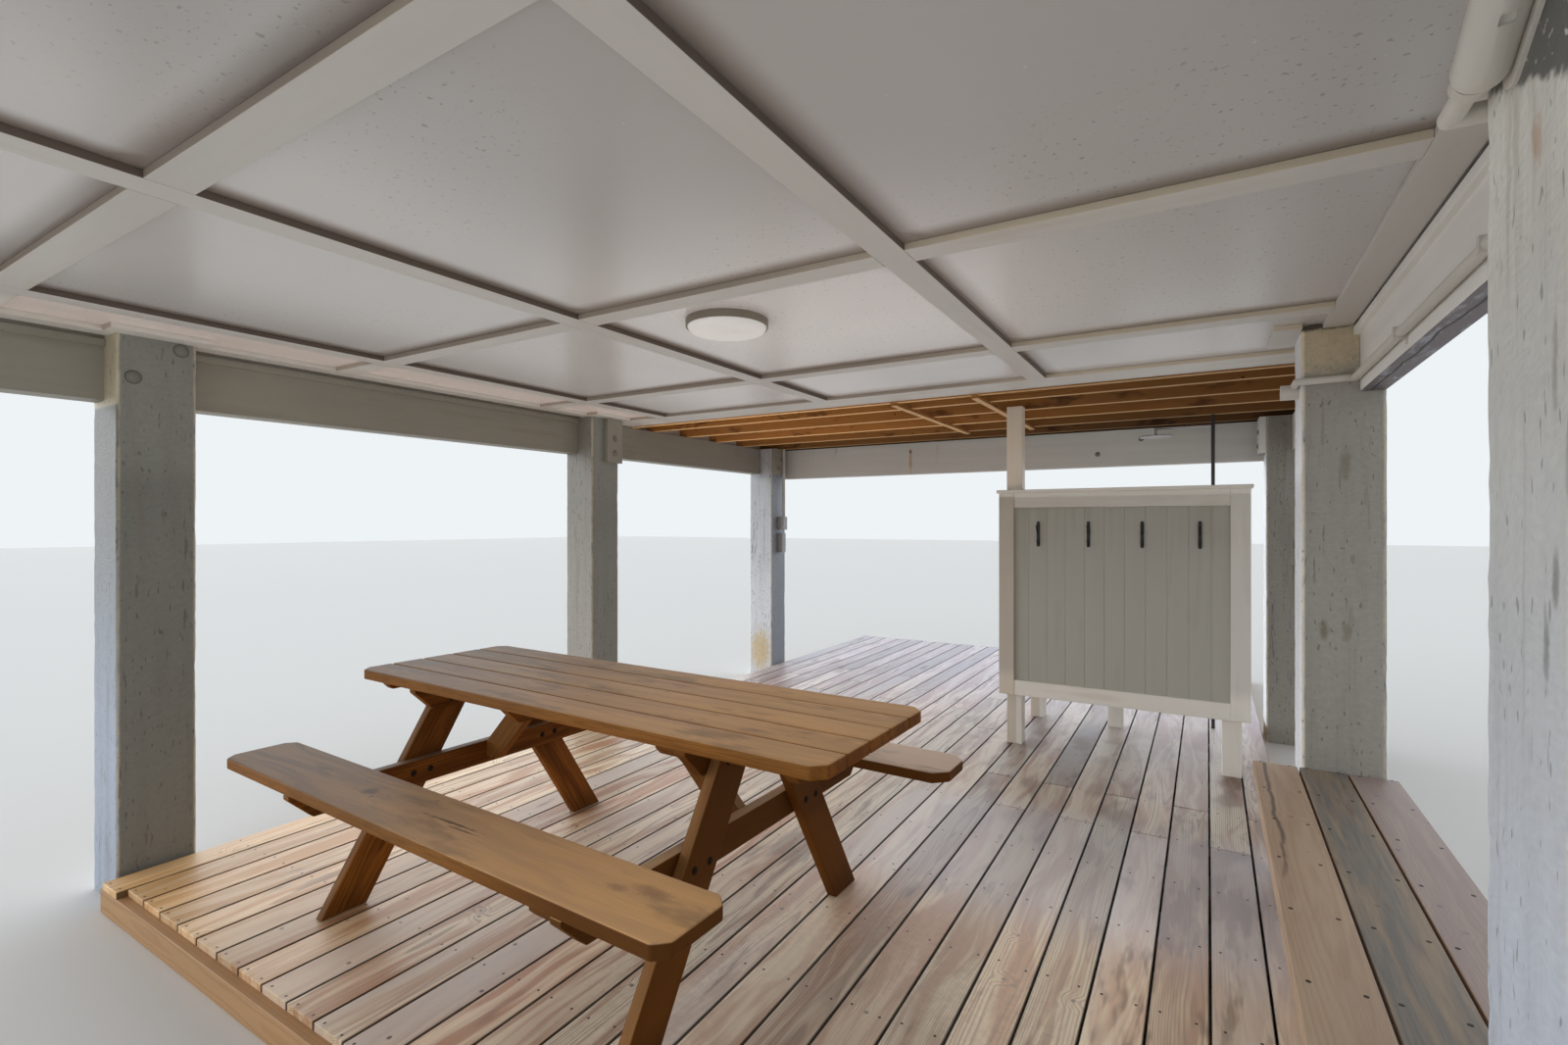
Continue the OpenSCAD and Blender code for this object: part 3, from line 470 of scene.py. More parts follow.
def deck_marks(g, colour, light):
    """Golden boards at the near left, water stains and dark board edges. A painted mauve grey reflection of
    the sky on the boards farther off, a painted shadow beside the table, and painted light and shade by
    place.
    """
    x, y = g.position()[:2]
    along, across = g.attribute("grain")[:2]
    wide = g.attribute("unit")[1]
    # painted reflection: the boards farther off are mixed towards the mauve grey of the sky mirrored in them
    far = y.smooth(-0.3, 3.5)
    colour = g.mix(far * 0.6, colour, DECK_SKY_REFLECTION)
    golden = (x + y * 0.6).smooth(-1.2, -3.2)
    colour = g.mix(golden * 0.55, colour, DECK_GOLD)
    pale = x.smooth(-0.2, 1.4) * y.smooth(1.0, -0.4)
    colour = g.mix(pale * 0.35, colour, DECK_PALE)
    blot = g.noise(along * 2.2, across * 11, 0.0, detail=3, roughness=0.65)
    tone = g.noise(x * 0.9, y * 0.9, 0.0, detail=2)
    dark = (blot + (tone - 0.5) * 0.8).smooth(0.60, 0.72)
    colour = g.mix(dark * 0.5, colour, DECK_BLOT)
    wet = g.noise(along * 2.5, across * 5, 7.0, detail=2).smooth(0.5, 0.66)
    not_far = y.smooth(2.2, 1.4)
    soaked = wet * x.smooth(-0.2, 0.6) * y.smooth(-0.5, 0.3) * not_far
    colour = g.mix(soaked * 0.6, colour, DECK_SOAKED)
    lighter_tone = x.smooth(0.1, 0.6) * y.smooth(-0.9, -0.5) * y.smooth(0.5, 0.1)
    colour = g.mix(lighter_tone * 0.5, colour, DECK_BLEACHED)
    shaded = x.smooth(-0.2, 0.9) * y.smooth(-1.0, 0.6) * not_far
    # painted shadow: the deck darker round the table's right end, where the table shades it
    table_shadow = spot(g, TABLE_SHADOW_AT, TABLE_SHADOW_REACH)
    edge = abs(wide).smooth(0.94, 1.0)
    # the board edges darker, and painted shade on the shaded part and in the table's shadow
    shade = (1 - edge * 0.7) * (1 - shaded * 0.34) * (1 - table_shadow * 0.22)
    # painted light: the deck made brighter towards the near end and at the near right
    near = y.smooth(0.3, -0.9, 1.0, 1.16) * (1 - golden * 0.1)
    bright = x.smooth(0.95, 1.3) * y.smooth(-0.1, -0.6) * 0.16
    return colour, light * shade * near * (bright + 1)


def table_marks(g, colour, light):
    """Tops grey at the left and tan at the right, golden edges, legs and undersides darker as painted shade,
    and darker feet.
    """
    x, y, z = g.position()
    to_y, to_z = facing(g)[1:]
    along, across, deep = g.attribute("grain")
    rightwards = x.smooth(-1.3, 0.7)
    top = to_z.smooth(*TOWARDS)
    # the tops mixed to grey at the left and tan at the right
    top_tone = g.mix(0.62, colour, g.mix(rightwards, TABLE_GREY, TABLE_TAN))
    far_seat = y.smooth(-0.95, -0.85)
    top_tone = g.mix(far_seat * rightwards * 0.6, top_tone, FAR_SEAT_GREY)
    smudge = g.noise(along * 3, across * 9, deep * 9, detail=3, roughness=0.65).smooth(0.52, 0.7)
    top_tone = g.mix(smudge * 0.45, top_tone, TABLE_SMUDGE)
    top_tone = add_stains(g, top_tone, TABLE_STAINS)
    oiled = g.mix(0.8, colour, TABLE_OIL, "MULTIPLY")
    board_edges = z.smooth(0.44, 0.5) * abs(to_z).smooth(0.6, 0.3)
    golden = g.mix(board_edges * to_y.smooth(*SQUARELY_AGAINST) * 0.5, oiled, TABLE_EDGE)
    fine = g.noise(along * 9, across * 160, deep * 160, detail=2).smooth(0.5, 0.62)
    golden = g.mix(fine * 0.3, golden, TABLE_FIBRE)
    below = x.smooth(-0.2, 0.5) * (1 - top) * z.smooth(0.86, 0.8)
    golden = g.mix(below * 0.75, golden, TABLE_GOLD)
    near_right = y.smooth(-1.7, -1.8) * rightwards * top
    under_shade = x.smooth(0.0, 0.4) * 0.2 + 0.4
    light = light * (top * (rightwards * 0.34 - 0.16) + 1) * (1 - below * under_shade)
    light = light * (near_right * 0.18 + 1) * (1 - board_edges * 0.22)
    foot = z.smooth(0.24, 0.13)
    return g.mix(top, golden, top_tone), light * (1 - foot * 0.35)


def bench_marks(g, colour, light):
    """A tan board, a streaked grey and brown one and a mauve one, with dark nicks and a long crack."""
    x, y = g.position()[:2]
    along, across = g.attribute("grain")[:2]
    share = (x - BENCH_LOW.x) / (BENCH_HIGH.x - BENCH_LOW.x)
    top = facing(g)[2].smooth(*TOWARDS)
    left = share.smooth(0.34, 0.33) * top
    middle = share.smooth(0.33, 0.34) * share.smooth(0.67, 0.66) * top
    right = share.smooth(0.66, 0.67) * top
    flame = g.noise(along * 1.5, across * 20, 0.0, detail=4, roughness=0.6, distortion=0.5).smooth(0.42, 0.6)
    fine = g.noise(along * 5, across * 110, 0.0, detail=3, roughness=0.6).smooth(0.4, 0.62)
    streaked = g.mix(flame * 0.65 + fine * 0.35, BENCH_STREAK_GREY, BENCH_STREAK_TAN)
    rot = g.noise(along * 4, across * 30, 3.0, detail=3).smooth(0.6, 0.7)
    streaked = g.mix(rot * 0.7, streaked, BENCH_ROT)
    colour = g.mix(middle * 0.75, colour, streaked)
    colour = g.mix(left * 0.35, colour, BENCH_TAN)
    colour = g.mix(right * 0.5, colour, BENCH_MAUVE)
    wander = (g.noise(y * 2.6, 0.0, 0.0, detail=4) - 0.5) * 0.16
    crack = abs(share - 0.08 + wander).smooth(0.02, 0.004)
    crack = crack * g.noise(y * 5, x * 40, 0.0, detail=3).smooth(0.34, 0.44) * y.smooth(-1.1, -0.7)
    colour = g.mix(crack * top * 0.75, colour, BENCH_CRACK)
    nick = g.noise(x * 26, y * 12, 0.0, detail=2).smooth(0.73, 0.77)
    return g.mix(nick * top * 0.7, colour, BENCH_NICK), light


def post_marks(g, colour, light):
    """Faces to the left get painted daylight, faces to the right painted shade, near faces lit and shaded
    tones.
    The first post at the left has painted blue light below and painted shade higher up, and a cream head."""
    x, y, z = g.position()
    to_x, to_y = facing(g)[:2]
    to_left = to_x.smooth(*AGAINST)
    to_right = to_x.smooth(*TOWARDS)
    to_near = to_y.smooth(*AGAINST)
    low_down = z.smooth(1.9, 0.5)
    head = z.smooth(1.7, 1.9)
    left_row = x.smooth(0.2, -0.2)
    closest = y.smooth(-1.7, -1.85) * x.smooth(1.0, 1.2)
    first = left_row * y.smooth(-1.6, -2.0) * to_near
    # painted light: faces to the left made pale, palest on the closest post, bluer low down on the others
    lighter_tone = g.mix(closest, POST_DAYLIT, g.mix(low_down, POST_LIT_LOW_NEAR, POST_LIT_LOW_OTHER))
    colour = g.mix(to_left, colour, lighter_tone)
    # painted shade: faces to the right made grey, bluer on the left row farther off
    colour = g.mix(to_right * 0.85, colour, POST_SHADE_RIGHT)
    colour = g.mix(to_right * left_row * y.smooth(1.5, 2.4) * 0.8, colour, POST_SHADE_RIGHT_FAR)
    # painted light and shade: faces to the near end darker near by and paler farther off, the head of the
    # closest post lighter
    front = g.mix(y.smooth(0.3, 2.4) * left_row, POST_FRONT_SHADE, POST_FRONT_FAR_LIT)
    colour = g.mix(to_near * 0.75, colour, front)
    near_tone = to_near * left_row * (low_down * 0.34 - 0.18)
    nearest_head = to_left * closest * head
    light = light * (near_tone + nearest_head * 0.14 + 1)
    # painted light and shade on the first post's near face: blue light low down, darker higher up, cream at
    # its head; faces to the left a little lighter
    cream = z.smooth(1.885, 1.905) * first
    colour = g.mix(first * low_down * 0.6, colour, POST_FIRST_LOW_LIGHT)
    colour = g.mix(cream * 0.7, colour, POST_CREAM)
    first_tone = first * (low_down * 0.3 - 0.37) + cream * 0.4
    light = light * (first_tone + to_left * (1 - closest) * 0.12 + nearest_head * 0.1 + 1)
    colour = post_wear(g, colour, to_right)
    return shadow_patch(g, colour, to_left, closest), light


def post_wear(g, colour, to_right):
    """Run marks, worn corners, specks, cracks, and the stains that stand at places of their own."""
    x, y, z = g.position()
    along, across, deep = g.attribute("grain")
    wide, thick = g.attribute("unit")[1:]
    run = g.noise(along * 1.6, across * 24, deep * 24, detail=3, roughness=0.65).smooth(0.52, 0.75)
    colour = g.mix(run * 0.35 * (1 - to_right * 0.6), colour, POST_RUN)
    corner = (abs(wide) * abs(thick)).smooth(0.88, 0.96)
    chip = g.noise(x * 30, y * 30, z * 9, detail=2, roughness=0.7).smooth(0.32, 0.5)
    colour = g.mix(corner * chip * 0.75, colour, POST_CORNER)
    speck = g.noise(x * 90, y * 90, z * 30, detail=1).smooth(0.67, 0.73)
    cracks = g.noise(x * 60, y * 60, z * 7, detail=2).smooth(0.64, 0.7)
    dirty = g.noise(x * 3, y * 3, z * 1.4, detail=1).smooth(0.42, 0.6)
    colour = g.mix(speck.math("MAXIMUM", cracks * dirty) * 0.55, colour, POST_SPECK)
    return add_stains(g, colour, POST_STAINS)


def shadow_patch(g, colour, to_left, closest):
    """A painted shadow, dark grey with paler specks, on the left face of the closest post's head, above a
    ragged line that slants.
    """
    y, z = g.position()[1:]
    ragged = (g.noise(y * 40, z * 40, 0.0, detail=2) - 0.5) * 0.04
    height = z + (y - SHADOW_EDGE_FROM.y) * SHADOW_EDGE_SLOPE + ragged
    # painted shadow above the slanting line, on the faces to the left of the closest post
    shadowed = height.smooth(SHADOW_EDGE_FROM.z - 0.005, SHADOW_EDGE_FROM.z + 0.01) * to_left * closest
    peeled = g.noise(y * 60, z * 60, 4.0, detail=2).smooth(0.62, 0.68)
    return g.mix(shadowed, colour, g.mix(peeled * 0.6, POST_SHADOW, POST_PEELED))


def beam_marks(g, colour, light):
    """The far beam and the right beam are whiter than the left. The right one is rough and split below."""
    x, y, z = g.position()
    far = y.smooth(FAR_BEAM_Y - 0.05, FAR_BEAM_Y)
    colour = g.mix(far, colour, BEAM_FAR)
    right = x.smooth(1.7, 1.8) * (1 - far)
    colour = g.mix(right, colour, BEAM_RIGHT)
    left = x.smooth(0.0, -0.2) * y.smooth(-1.8, -1.0) * (1 - far)
    light = light * (1 - left * 0.15) * (right * 0.1 + 1)
    drip = g.noise(x * 9, 0.0, z * 1.5, detail=3).smooth(0.64, 0.7) * far
    colour = g.mix(drip * 0.2, colour, BEAM_DRIP)
    colour = add_stains(g, colour, BEAM_STAINS)
    lowest = z.smooth(RIGHT_BEAM_LOW.z + 0.02, RIGHT_BEAM_LOW.z + 0.01)
    under = facing(g)[2].smooth(*SQUARELY_AGAINST) * right * lowest
    patch = g.noise(x * 30, y * 5, 0.0, detail=4, roughness=0.7).smooth(0.5, 0.62)
    rough = g.mix(patch * 0.6, BEAM_UNDER, BEAM_UNDER_PALE)
    wander = (g.noise(y * 1.5, 0.0, 0.0, detail=4) - 0.5) * 0.09
    from_split = abs(x - RIGHT_BEAM_X + wander)
    rough = g.mix(from_split.smooth(0.006, 0.001), rough, BEAM_SPLIT)
    return g.mix(under, colour, rough), light


def batten_marks(g, colour, light):
    """The battens' sides towards the near end get painted warm light, those towards the right painted shade,
    and the left border battens painted light.
    """
    x = g.position()[0]
    to_x, to_y = facing(g)[:2]
    # painted warm light on the battens' sides that face the near end, paler towards the right
    warm_lit_sides = g.mix(x.smooth(0.2, 1.3), BATTEN_WARM_LIGHT_LEFT, BATTEN_WARM_LIGHT_RIGHT)
    colour = g.mix(to_y.smooth(*AGAINST) * 0.8, colour, warm_lit_sides)
    # painted shade: the battens' sides that face the right made dark brown, except at the left border
    shaded_sides = to_x.smooth(*TOWARDS) * x.smooth(-1.75, -1.6)
    colour = g.mix(shaded_sides * 0.9, colour, BATTEN_SIDE_SHADE)
    # painted light: the border battens at the left made brighter
    light = light * (x.smooth(-1.6, -1.75) * 0.3 + 1)
    rust = spot(g, BATTEN_RUST_AT, BATTEN_RUST_REACH)
    return g.mix(rust * 0.75, colour, BATTEN_RUST), light


def joist_marks(g, colour, light):
    """Joists with undersides paler and brighter as painted light and dark smears, with painted shade towards
    the right and by the far beam.
    """
    x, y, z = g.position()
    # painted light: the joists' undersides paler and brighter than their sides
    under = facing(g)[2].smooth(*SQUARELY_AGAINST)
    colour = g.mix(under * 0.8, colour, JOIST_UNDER_LIT)
    smear = g.noise(x * 3, y * 3, z * 8, detail=3, roughness=0.65).smooth(0.56, 0.68) * (1 - under)
    colour = g.mix(smear * 0.75, colour, JOIST_SMEAR)
    # painted shade: the joists darker towards the right and by the far beam, brighter towards the left
    far_beam_shade = y.smooth(FAR_BEAM_Y - 0.75, FAR_BEAM_Y - 0.2)
    return colour, light * x.smooth(-1.5, 1.6, 1.42, 0.66) * (under * 0.25 + 0.95) * (1 - far_beam_shade * 0.5)


def screen_marks(g, colour, light):
    """Trims darker at the left edge, lighter low down and warm where a leg runs up to the joists."""
    x, y, z = g.position()
    left_edge = x.smooth(SCREEN_LEFT + 0.1, SCREEN_LEFT + 0.09) * z.smooth(1.62, 1.6)
    upper = z.smooth(1.62, 1.7)
    colour = g.mix(left_edge.math("MAXIMUM", upper) * 0.5, colour, SCREEN_WARM)
    return colour, light * (z.smooth(0.6, 0.5) * 0.22 + upper * 0.2 - left_edge * 0.2 + 1)


def ceiling_marks(g, colour, light):
    """Mildew specks, a painted shadow beside the battens, a painted sheen round the middle, and painted
    light farther off, in a band left of the middle and on a pale strip at the left.
    """
    x, y = g.position()[:2]
    speck = g.noise(x * 70, y * 70, 0.0, detail=2).smooth(0.64, 0.7)
    area = g.noise(x * 0.8, y * 0.8, 0.0, detail=2).smooth(0.4, 0.58)
    colour = g.mix(speck * area * 0.5, colour, CEILING_SPECK)
    # painted reflection: the panels brighter round the middle
    away = [axis - value for axis, value in zip((x, y), CEILING_SHEEN_AT)]
    lit = (away[0] * away[0] + away[1] * away[1]).math("SQRT").smooth(1.15, 0.15)
    # painted light: the panels brighter farther off and in a band left of the middle
    leftwards = x.smooth(0.4, -0.1) * x.smooth(-1.6, -0.8)
    # painted light: the strip left of the first long batten made paler and brighter
    strip = x.smooth(LONG_BATTENS[0], LONG_BATTENS[0] - 0.01)
    colour = g.mix(strip * 0.4, colour, CEILING_LIT_STRIP)
    light = light * (lit * 0.62 + y.smooth(-2.2, 0.3) * 0.26 + leftwards * 0.24 + strip * 0.6 + 0.96)
    # painted shadow: the panels darker and browner beside the long battens' right sides and the cross
    # battens' near sides
    batten_shadow = 0.0
    for axis, middles, way in ((x, LONG_BATTENS, 1), (y, CROSS_BATTENS, -1)):
        for middle in middles:
            beyond = (axis - middle) * way - BATTEN_HALF
            batten_shadow = batten_shadow + beyond.smooth(BATTEN_SHADOW_REACH, 0.0) * beyond.smooth(-0.02, -0.01)
    batten_shadow = batten_shadow.math("MINIMUM", 1.0) * x.smooth(LONG_BATTENS[0], LONG_BATTENS[0] + 0.01)
    return g.mix(batten_shadow * 0.65, colour, CEILING_BATTEN_SHADOW), light * (1 - batten_shadow * 0.34)


def make_materials():
    """One material for each of the record's slots."""
    grey_wood = srgb(168, 160, 158)
    made = {
        "post_paint": paint(
            "post paint", srgb(178, 176, 170), srgb(132, 126, 114), roughness=0.6, mottle=0.2, streaks=0.24,
            texture=0.0022, extra=post_marks, saw=0.2),
        "beam_paint": paint(
            "beam paint", srgb(160, 156, 144), srgb(126, 118, 100), roughness=0.55, mottle=0.14,
            streaks=0.16, texture=0.0008, extra=beam_marks),
        "ceiling_paint": paint(
            "ceiling paint", srgb(188, 184, 182), srgb(188, 178, 166), roughness=0.26, mottle=0.06,
            streaks=0.0, texture=0.00004, specular=0.6, stained=0.1, extra=ceiling_marks, sawn_share=0.0),
        "batten_paint": paint(
            "batten paint", srgb(200, 196, 190), srgb(180, 166, 146), roughness=0.42, mottle=0.08,
            streaks=0.1, texture=0.0005, extra=batten_marks),
        "rim_paint": paint("rim paint", srgb(206, 206, 202), srgb(170, 164, 150)),
        "screen_trim_paint": paint(
            "screen trim paint", srgb(218, 212, 202), srgb(186, 172, 150), mottle=0.08, streaks=0.1,
            extra=screen_marks),
        "screen_board_paint": paint(
            "screen board paint", srgb(178, 174, 162), srgb(150, 142, 126), mottle=0.08, streaks=0.1),
        "conduit_plastic": paint(
            "conduit plastic", srgb(204, 199, 190), srgb(130, 116, 100), mottle=0.3, streaks=0.3),
        "joist_wood": wood(
            "joist wood", srgb(188, 134, 70), srgb(112, 68, 26), srgb(150, 110, 76), weather=0.1,
            extra=joist_marks),
        "sheet_wood": wood(
            "sheet wood", srgb(206, 172, 122), srgb(160, 118, 72), grey_wood, ring=0.012, weather=0.0),
        "balcony_wood": wood(
            "balcony wood", srgb(150, 104, 62), srgb(96, 60, 32), srgb(120, 100, 84), weather=0.2),
        "deck_wood": wood(
            "deck wood", srgb(230, 212, 182), srgb(138, 98, 68), srgb(190, 176, 164), ring=0.006,
            ring_share=0.75, spread=0.4, roughness=0.5, specular=0.4, warm=srgb(180, 132, 96),
            warm_share=0.95, extra=deck_marks),
        "deck_rim_wood": wood(
            "deck rim wood", srgb(206, 164, 116), srgb(160, 112, 66), grey_wood, weather=0.1),
        "bench_wood": wood(
            "bench wood", srgb(186, 162, 136), srgb(138, 108, 82), srgb(146, 142, 134), ring=0.007,
            ring_share=0.45, spread=0.12, weather=0.25, knot_share=0.6, warm=srgb(156, 128, 104),
            warm_share=0.6, extra=bench_marks),
        "table_wood": wood(
            "table wood", srgb(200, 148, 78), srgb(112, 72, 34), srgb(150, 130, 100), ring=0.006,
            spread=0.16, weather=0.2, roughness=0.66, specular=0.12, knot_share=0.5,
            warm=srgb(150, 106, 54), warm_share=0.8, extra=table_marks),
        "hook_black": metal("hook black", srgb(26, 26, 28), roughness=0.42),
        "dark_pipe": metal("dark pipe", srgb(58, 54, 52), roughness=0.5),
        "shower_metal": metal("shower metal", srgb(190, 192, 194), roughness=0.3, metallic=1.0),
        "light_rim": metal("light rim", srgb(138, 128, 114), roughness=0.5),
        "light_bowl": metal("light bowl", srgb(240, 236, 232), roughness=0.6, glow=0.14),
        "outlet_metal": metal("outlet metal", srgb(160, 162, 164), roughness=0.5),
    }
    missing = {row["slot"] for row in frame["record"]["materials"]} - set(made)
    assert not missing, missing
    return made


# Solids taken from the frame, with eased edges and grain

def lone_solids(node):
    """The separate solids of a CAD node, each a mesh of its own whose flat faces are whole."""
    source = bmesh.new()
    source.from_mesh(frame["nodes"][node].data)
    bmesh.ops.remove_doubles(source, verts=source.verts, dist=MERGE)
    bmesh.ops.dissolve_limit(source, angle_limit=FLAT_ANGLE, verts=source.verts, edges=source.edges)
    source.faces.index_update()
    source.verts.index_update()
    seen = set()
    solids = []
    for first in source.faces:
        if first.index in seen:
            continue
        seen.add(first.index)
        group = [first]
        for face in group:
            for other in (f for edge in face.edges for f in edge.link_faces):
                if other.index not in seen:
                    seen.add(other.index)
                    group.append(other)
        solid = bmesh.new()
        copies = {}
        for face in group:
            for vert in face.verts:
                if vert.index not in copies:
                    copies[vert.index] = solid.verts.new(vert.co)
            solid.faces.new([copies[vert.index] for vert in face.verts])
        solid.normal_update()
        solids.append(solid)
    source.free()
    return solids


def grain_axes(solid):
    """Unit vectors along the longest edge, across it, and out of the largest side beside it."""
    longest = max(solid.edges, key=lambda edge: round(edge.calc_length(), 4))
    along = (longest.verts[1].co - longest.verts[0].co).normalized()
    sides = [face for face in solid.faces if abs(face.normal.dot(along)) < 0.2]
    deep = max(sides, key=lambda face: round(face.calc_area(), 6)).normal.copy()
    return along, deep.cross(along).normalized(), deep


def ease_edges(solid, width, steps=2):
    """Rounds the sharp edges of a solid."""
    sharp = [edge for edge in solid.edges if edge.is_manifold and edge.calc_face_angle() > EDGE_ANGLE]
    if sharp and width > 0:
        bmesh.ops.bevel(solid, geom=sharp, offset=width, segments=steps, profile=0.5, affect="EDGES",
                        clamp_overlap=True)


class Pieces:
    """Gathers solids into one mesh. Three attributes are written on its points: grain, the place along,
    across and deep from the pith; unit, the same from -1 to 1; and tint, the solid's random numbers."""

    def __init__(self, name):
        self.name = name
        self.points, self.faces, self.smooth = [], [], []
        self.grain, self.unit, self.tint = [], [], []

    def add(self, solid, axes, seed, smooth=True):
        """Adds a solid and frees it. Its pith lies at a random depth beyond a wide face, behind the
        board where it is flat sawn and off to one side where it isn't."""
        lot = random.Random(f"{self.name} {seed}")
        start = len(self.points)
        solid.verts.index_update()
        places = [vert.co.copy() for vert in solid.verts]
        rows = [[place.dot(axis) for axis in axes] for place in places]
        low = [min(row[k] for row in rows) for k in range(3)]
        high = [max(row[k] for row in rows) for k in range(3)]
        middle = [(a + b) / 2 for a, b in zip(low, high)]
        half = [max((b - a) / 2, 1e-4) for a, b in zip(low, high)]
        if lot.random() < FLAT_SAWN_SHARE:
            aside = lot.uniform(-0.6, 0.6)
        else:
            aside = lot.choice((-1, 1)) * lot.uniform(1.4, 3.0)
        start_along = lot.uniform(0, 60)
        side = lot.choice((-1, 1))
        pith = (start_along, aside * half[1], side * (half[2] + lot.uniform(0.015, 0.1)))
        tint = [lot.random(), lot.random(), lot.random()]
        for place, row in zip(places, rows):
            centred = [value - mid for value, mid in zip(row, middle)]
            self.points.append(place)
            self.grain.append([value + shift for value, shift in zip(centred, pith)])
            self.unit.append([value / size for value, size in zip(centred, half)])
            self.tint.append(tint)
        for face in solid.faces:
            self.faces.append([start + vert.index for vert in face.verts])
            self.smooth.append(smooth)
        solid.free()

    def build(self, material, replaced=(), slot=None, weighted=True):
        """The finished piece, riding on the part's one body."""
        mesh = bpy.data.meshes.new(self.name)
        mesh.from_pydata([tuple(p) for p in self.points], [], self.faces)
        for key, rows in (("grain", self.grain), ("unit", self.unit), ("tint", self.tint)):
            layer = mesh.attributes.new(key, "FLOAT_VECTOR", "POINT")
            layer.data.foreach_set("vector", [value for row in rows for value in row])
        mesh.polygons.foreach_set("use_smooth", self.smooth)
        mesh.materials.append(material)
        mesh.update()
        piece = bpy.data.objects.new(self.name, mesh)
        bpy.context.scene.collection.objects.link(piece)
        if weighted:
            mesh.set_sharp_from_angle(angle=SHARP_ANGLE)
            shading = piece.modifiers.new("even shading", "WEIGHTED_NORMAL")
            shading.keep_sharp = True
        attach(piece, "root")
        if replaced:
            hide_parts(*replaced)
        return piece


def dress(node, edge=0.003, steps=2, before=None):
    """Stands for a CAD node: the same solids with eased edges, grain and a tone for each."""
    pieces = Pieces(f"{node}_dressed")
    for index, solid in enumerate(lone_solids(node)):
        axes = grain_axes(solid)
        if before:
            before(solid, axes, index)
        ease_edges(solid, edge, steps)
        pieces.add(solid, axes, index)
    slot = SLOT_OF[node]
    return pieces.build(MATERIALS[slot], [node], slot)


def rough_corners(solid, axes, index):
    """Cuts a post into short lengths and moves its corners in by uneven amounts, as hewn and worn timber."""
    along = axes[0]
    levels = sorted(vert.co.dot(along) for vert in solid.verts)
    middle = sum((vert.co for vert in solid.verts), Vector()) / len(solid.verts)
    for k in range(1, int((levels[-1] - levels[0]) / POST_CUT)):
        place = along * (levels[0] + k * POST_CUT)
        whole = list(solid.verts) + list(solid.edges) + list(solid.faces)
        bmesh.ops.bisect_plane(solid, geom=whole, plane_co=place, plane_no=along, dist=1e-5)
    for vert in solid.verts:
        inward = Vector((middle.x - vert.co.x, middle.y - vert.co.y, 0))
        wave = noise.noise(vert.co * 7) * 0.5 + noise.noise(vert.co * 31) * 0.5
        vert.co += inward.normalized() * max(0.0, wave) * POST_WEAR


# Small turned parts

def turned(profile, steps=12):
    """A solid turned round Z from points (radius, height), closed at both ends."""
    solid = bmesh.new()
    angles = [2 * math.pi * k / steps for k in range(steps)]
    rings = []
    for radius, height in profile:
        if radius < 1e-6:
            places = [(0, 0, height)]
        else:
            places = [(radius * math.cos(angle), radius * math.sin(angle), height) for angle in angles]
        rings.append([solid.verts.new(place) for place in places])
    for lower, upper in zip(rings, rings[1:]):
        for k in range(steps):
            n = (k + 1) % steps
            if len(lower) == 1:
                solid.faces.new((lower[0], upper[n], upper[k]))
            elif len(upper) == 1:
                solid.faces.new((lower[k], lower[n], upper[0]))
            else:
                solid.faces.new((lower[k], lower[n], upper[n], upper[k]))
    bmesh.ops.recalc_face_normals(solid, faces=solid.faces)
    return solid


def stand(solid, place, outward, spin=0.0):
    """Moves a solid made round Z so that it stands at a place and points outward."""
    turn = outward.to_track_quat("Z", "Y").to_matrix().to_4x4()
    solid.transform(Matrix.Translation(place) @ turn @ Matrix.Rotation(spin, 4, "Z"))
    return solid


TO_RIGHT = Vector((1, 0, 0))
TO_LEFT = Vector((-1, 0, 0))
TO_FAR = Vector((0, 1, 0))
TO_NEAR = Vector((0, -1, 0))
UP = Vector((0, 0, 1))
WORLD_AXES = (UP, TO_RIGHT, TO_FAR)


def screw_head(radius=0.0042):
    """A countersunk head with a small drive recess, standing a hair above the timber."""
    return turned([(0, -0.001), (radius, -0.001), (radius, 0.0002), (radius * 0.8, 0.0004),
                   (radius * 0.35, 0.0003), (0, -0.0002)], 8)


def bolt_head(washer=0.016, head=0.009, tall=0.006):
    """A washer and a domed head."""
    return turned([(0, -0.001), (washer, -0.001), (washer, 0.0012), (washer - 0.001, 0.002), (head, 0.002),
                   (head, tall * 0.6), (head * 0.75, tall * 0.92), (0, tall)], 20)


def centres(node, axis):
    """The middles of a node's solids along one axis, in order."""
    found = []
    for solid in lone_solids(node):
        values = [vert.co[axis] for vert in solid.verts]
        found.append((min(values) + max(values)) / 2)
        solid.free()
    return sorted(found)


def add_deck_screws():
    """Two screws in each deck board over each sleeper and rim, and at both sides of a joint."""
    over_end, from_end, from_edge = 0.03, 0.014, 0.028
    pieces = Pieces("deck_screws")
    rows = centres("deck_sleepers", 1) + centres("deck_end_rims", 1)
    lot = random.Random("deck screws")
    for solid in lone_solids("deck_boards"):
        xs = [vert.co.x for vert in solid.verts]
        ys = [vert.co.y for vert in solid.verts]
        solid.free()
        for row in (y for y in rows if min(ys) - over_end < y < max(ys) + over_end):
            for x in (min(xs) + from_edge, max(xs) - from_edge):
                y = min(max(row + lot.uniform(-0.008, 0.008), min(ys) + from_end), max(ys) - from_end)
                place = Vector((x + lot.uniform(-0.004, 0.004), y, DECK_TOP))
                pieces.add(stand(screw_head(), place, UP), WORLD_AXES, 0)
    steel = metal("screw steel", srgb(62, 54, 48), roughness=0.5, metallic=0.6)
    pieces.build(steel, weighted=False)


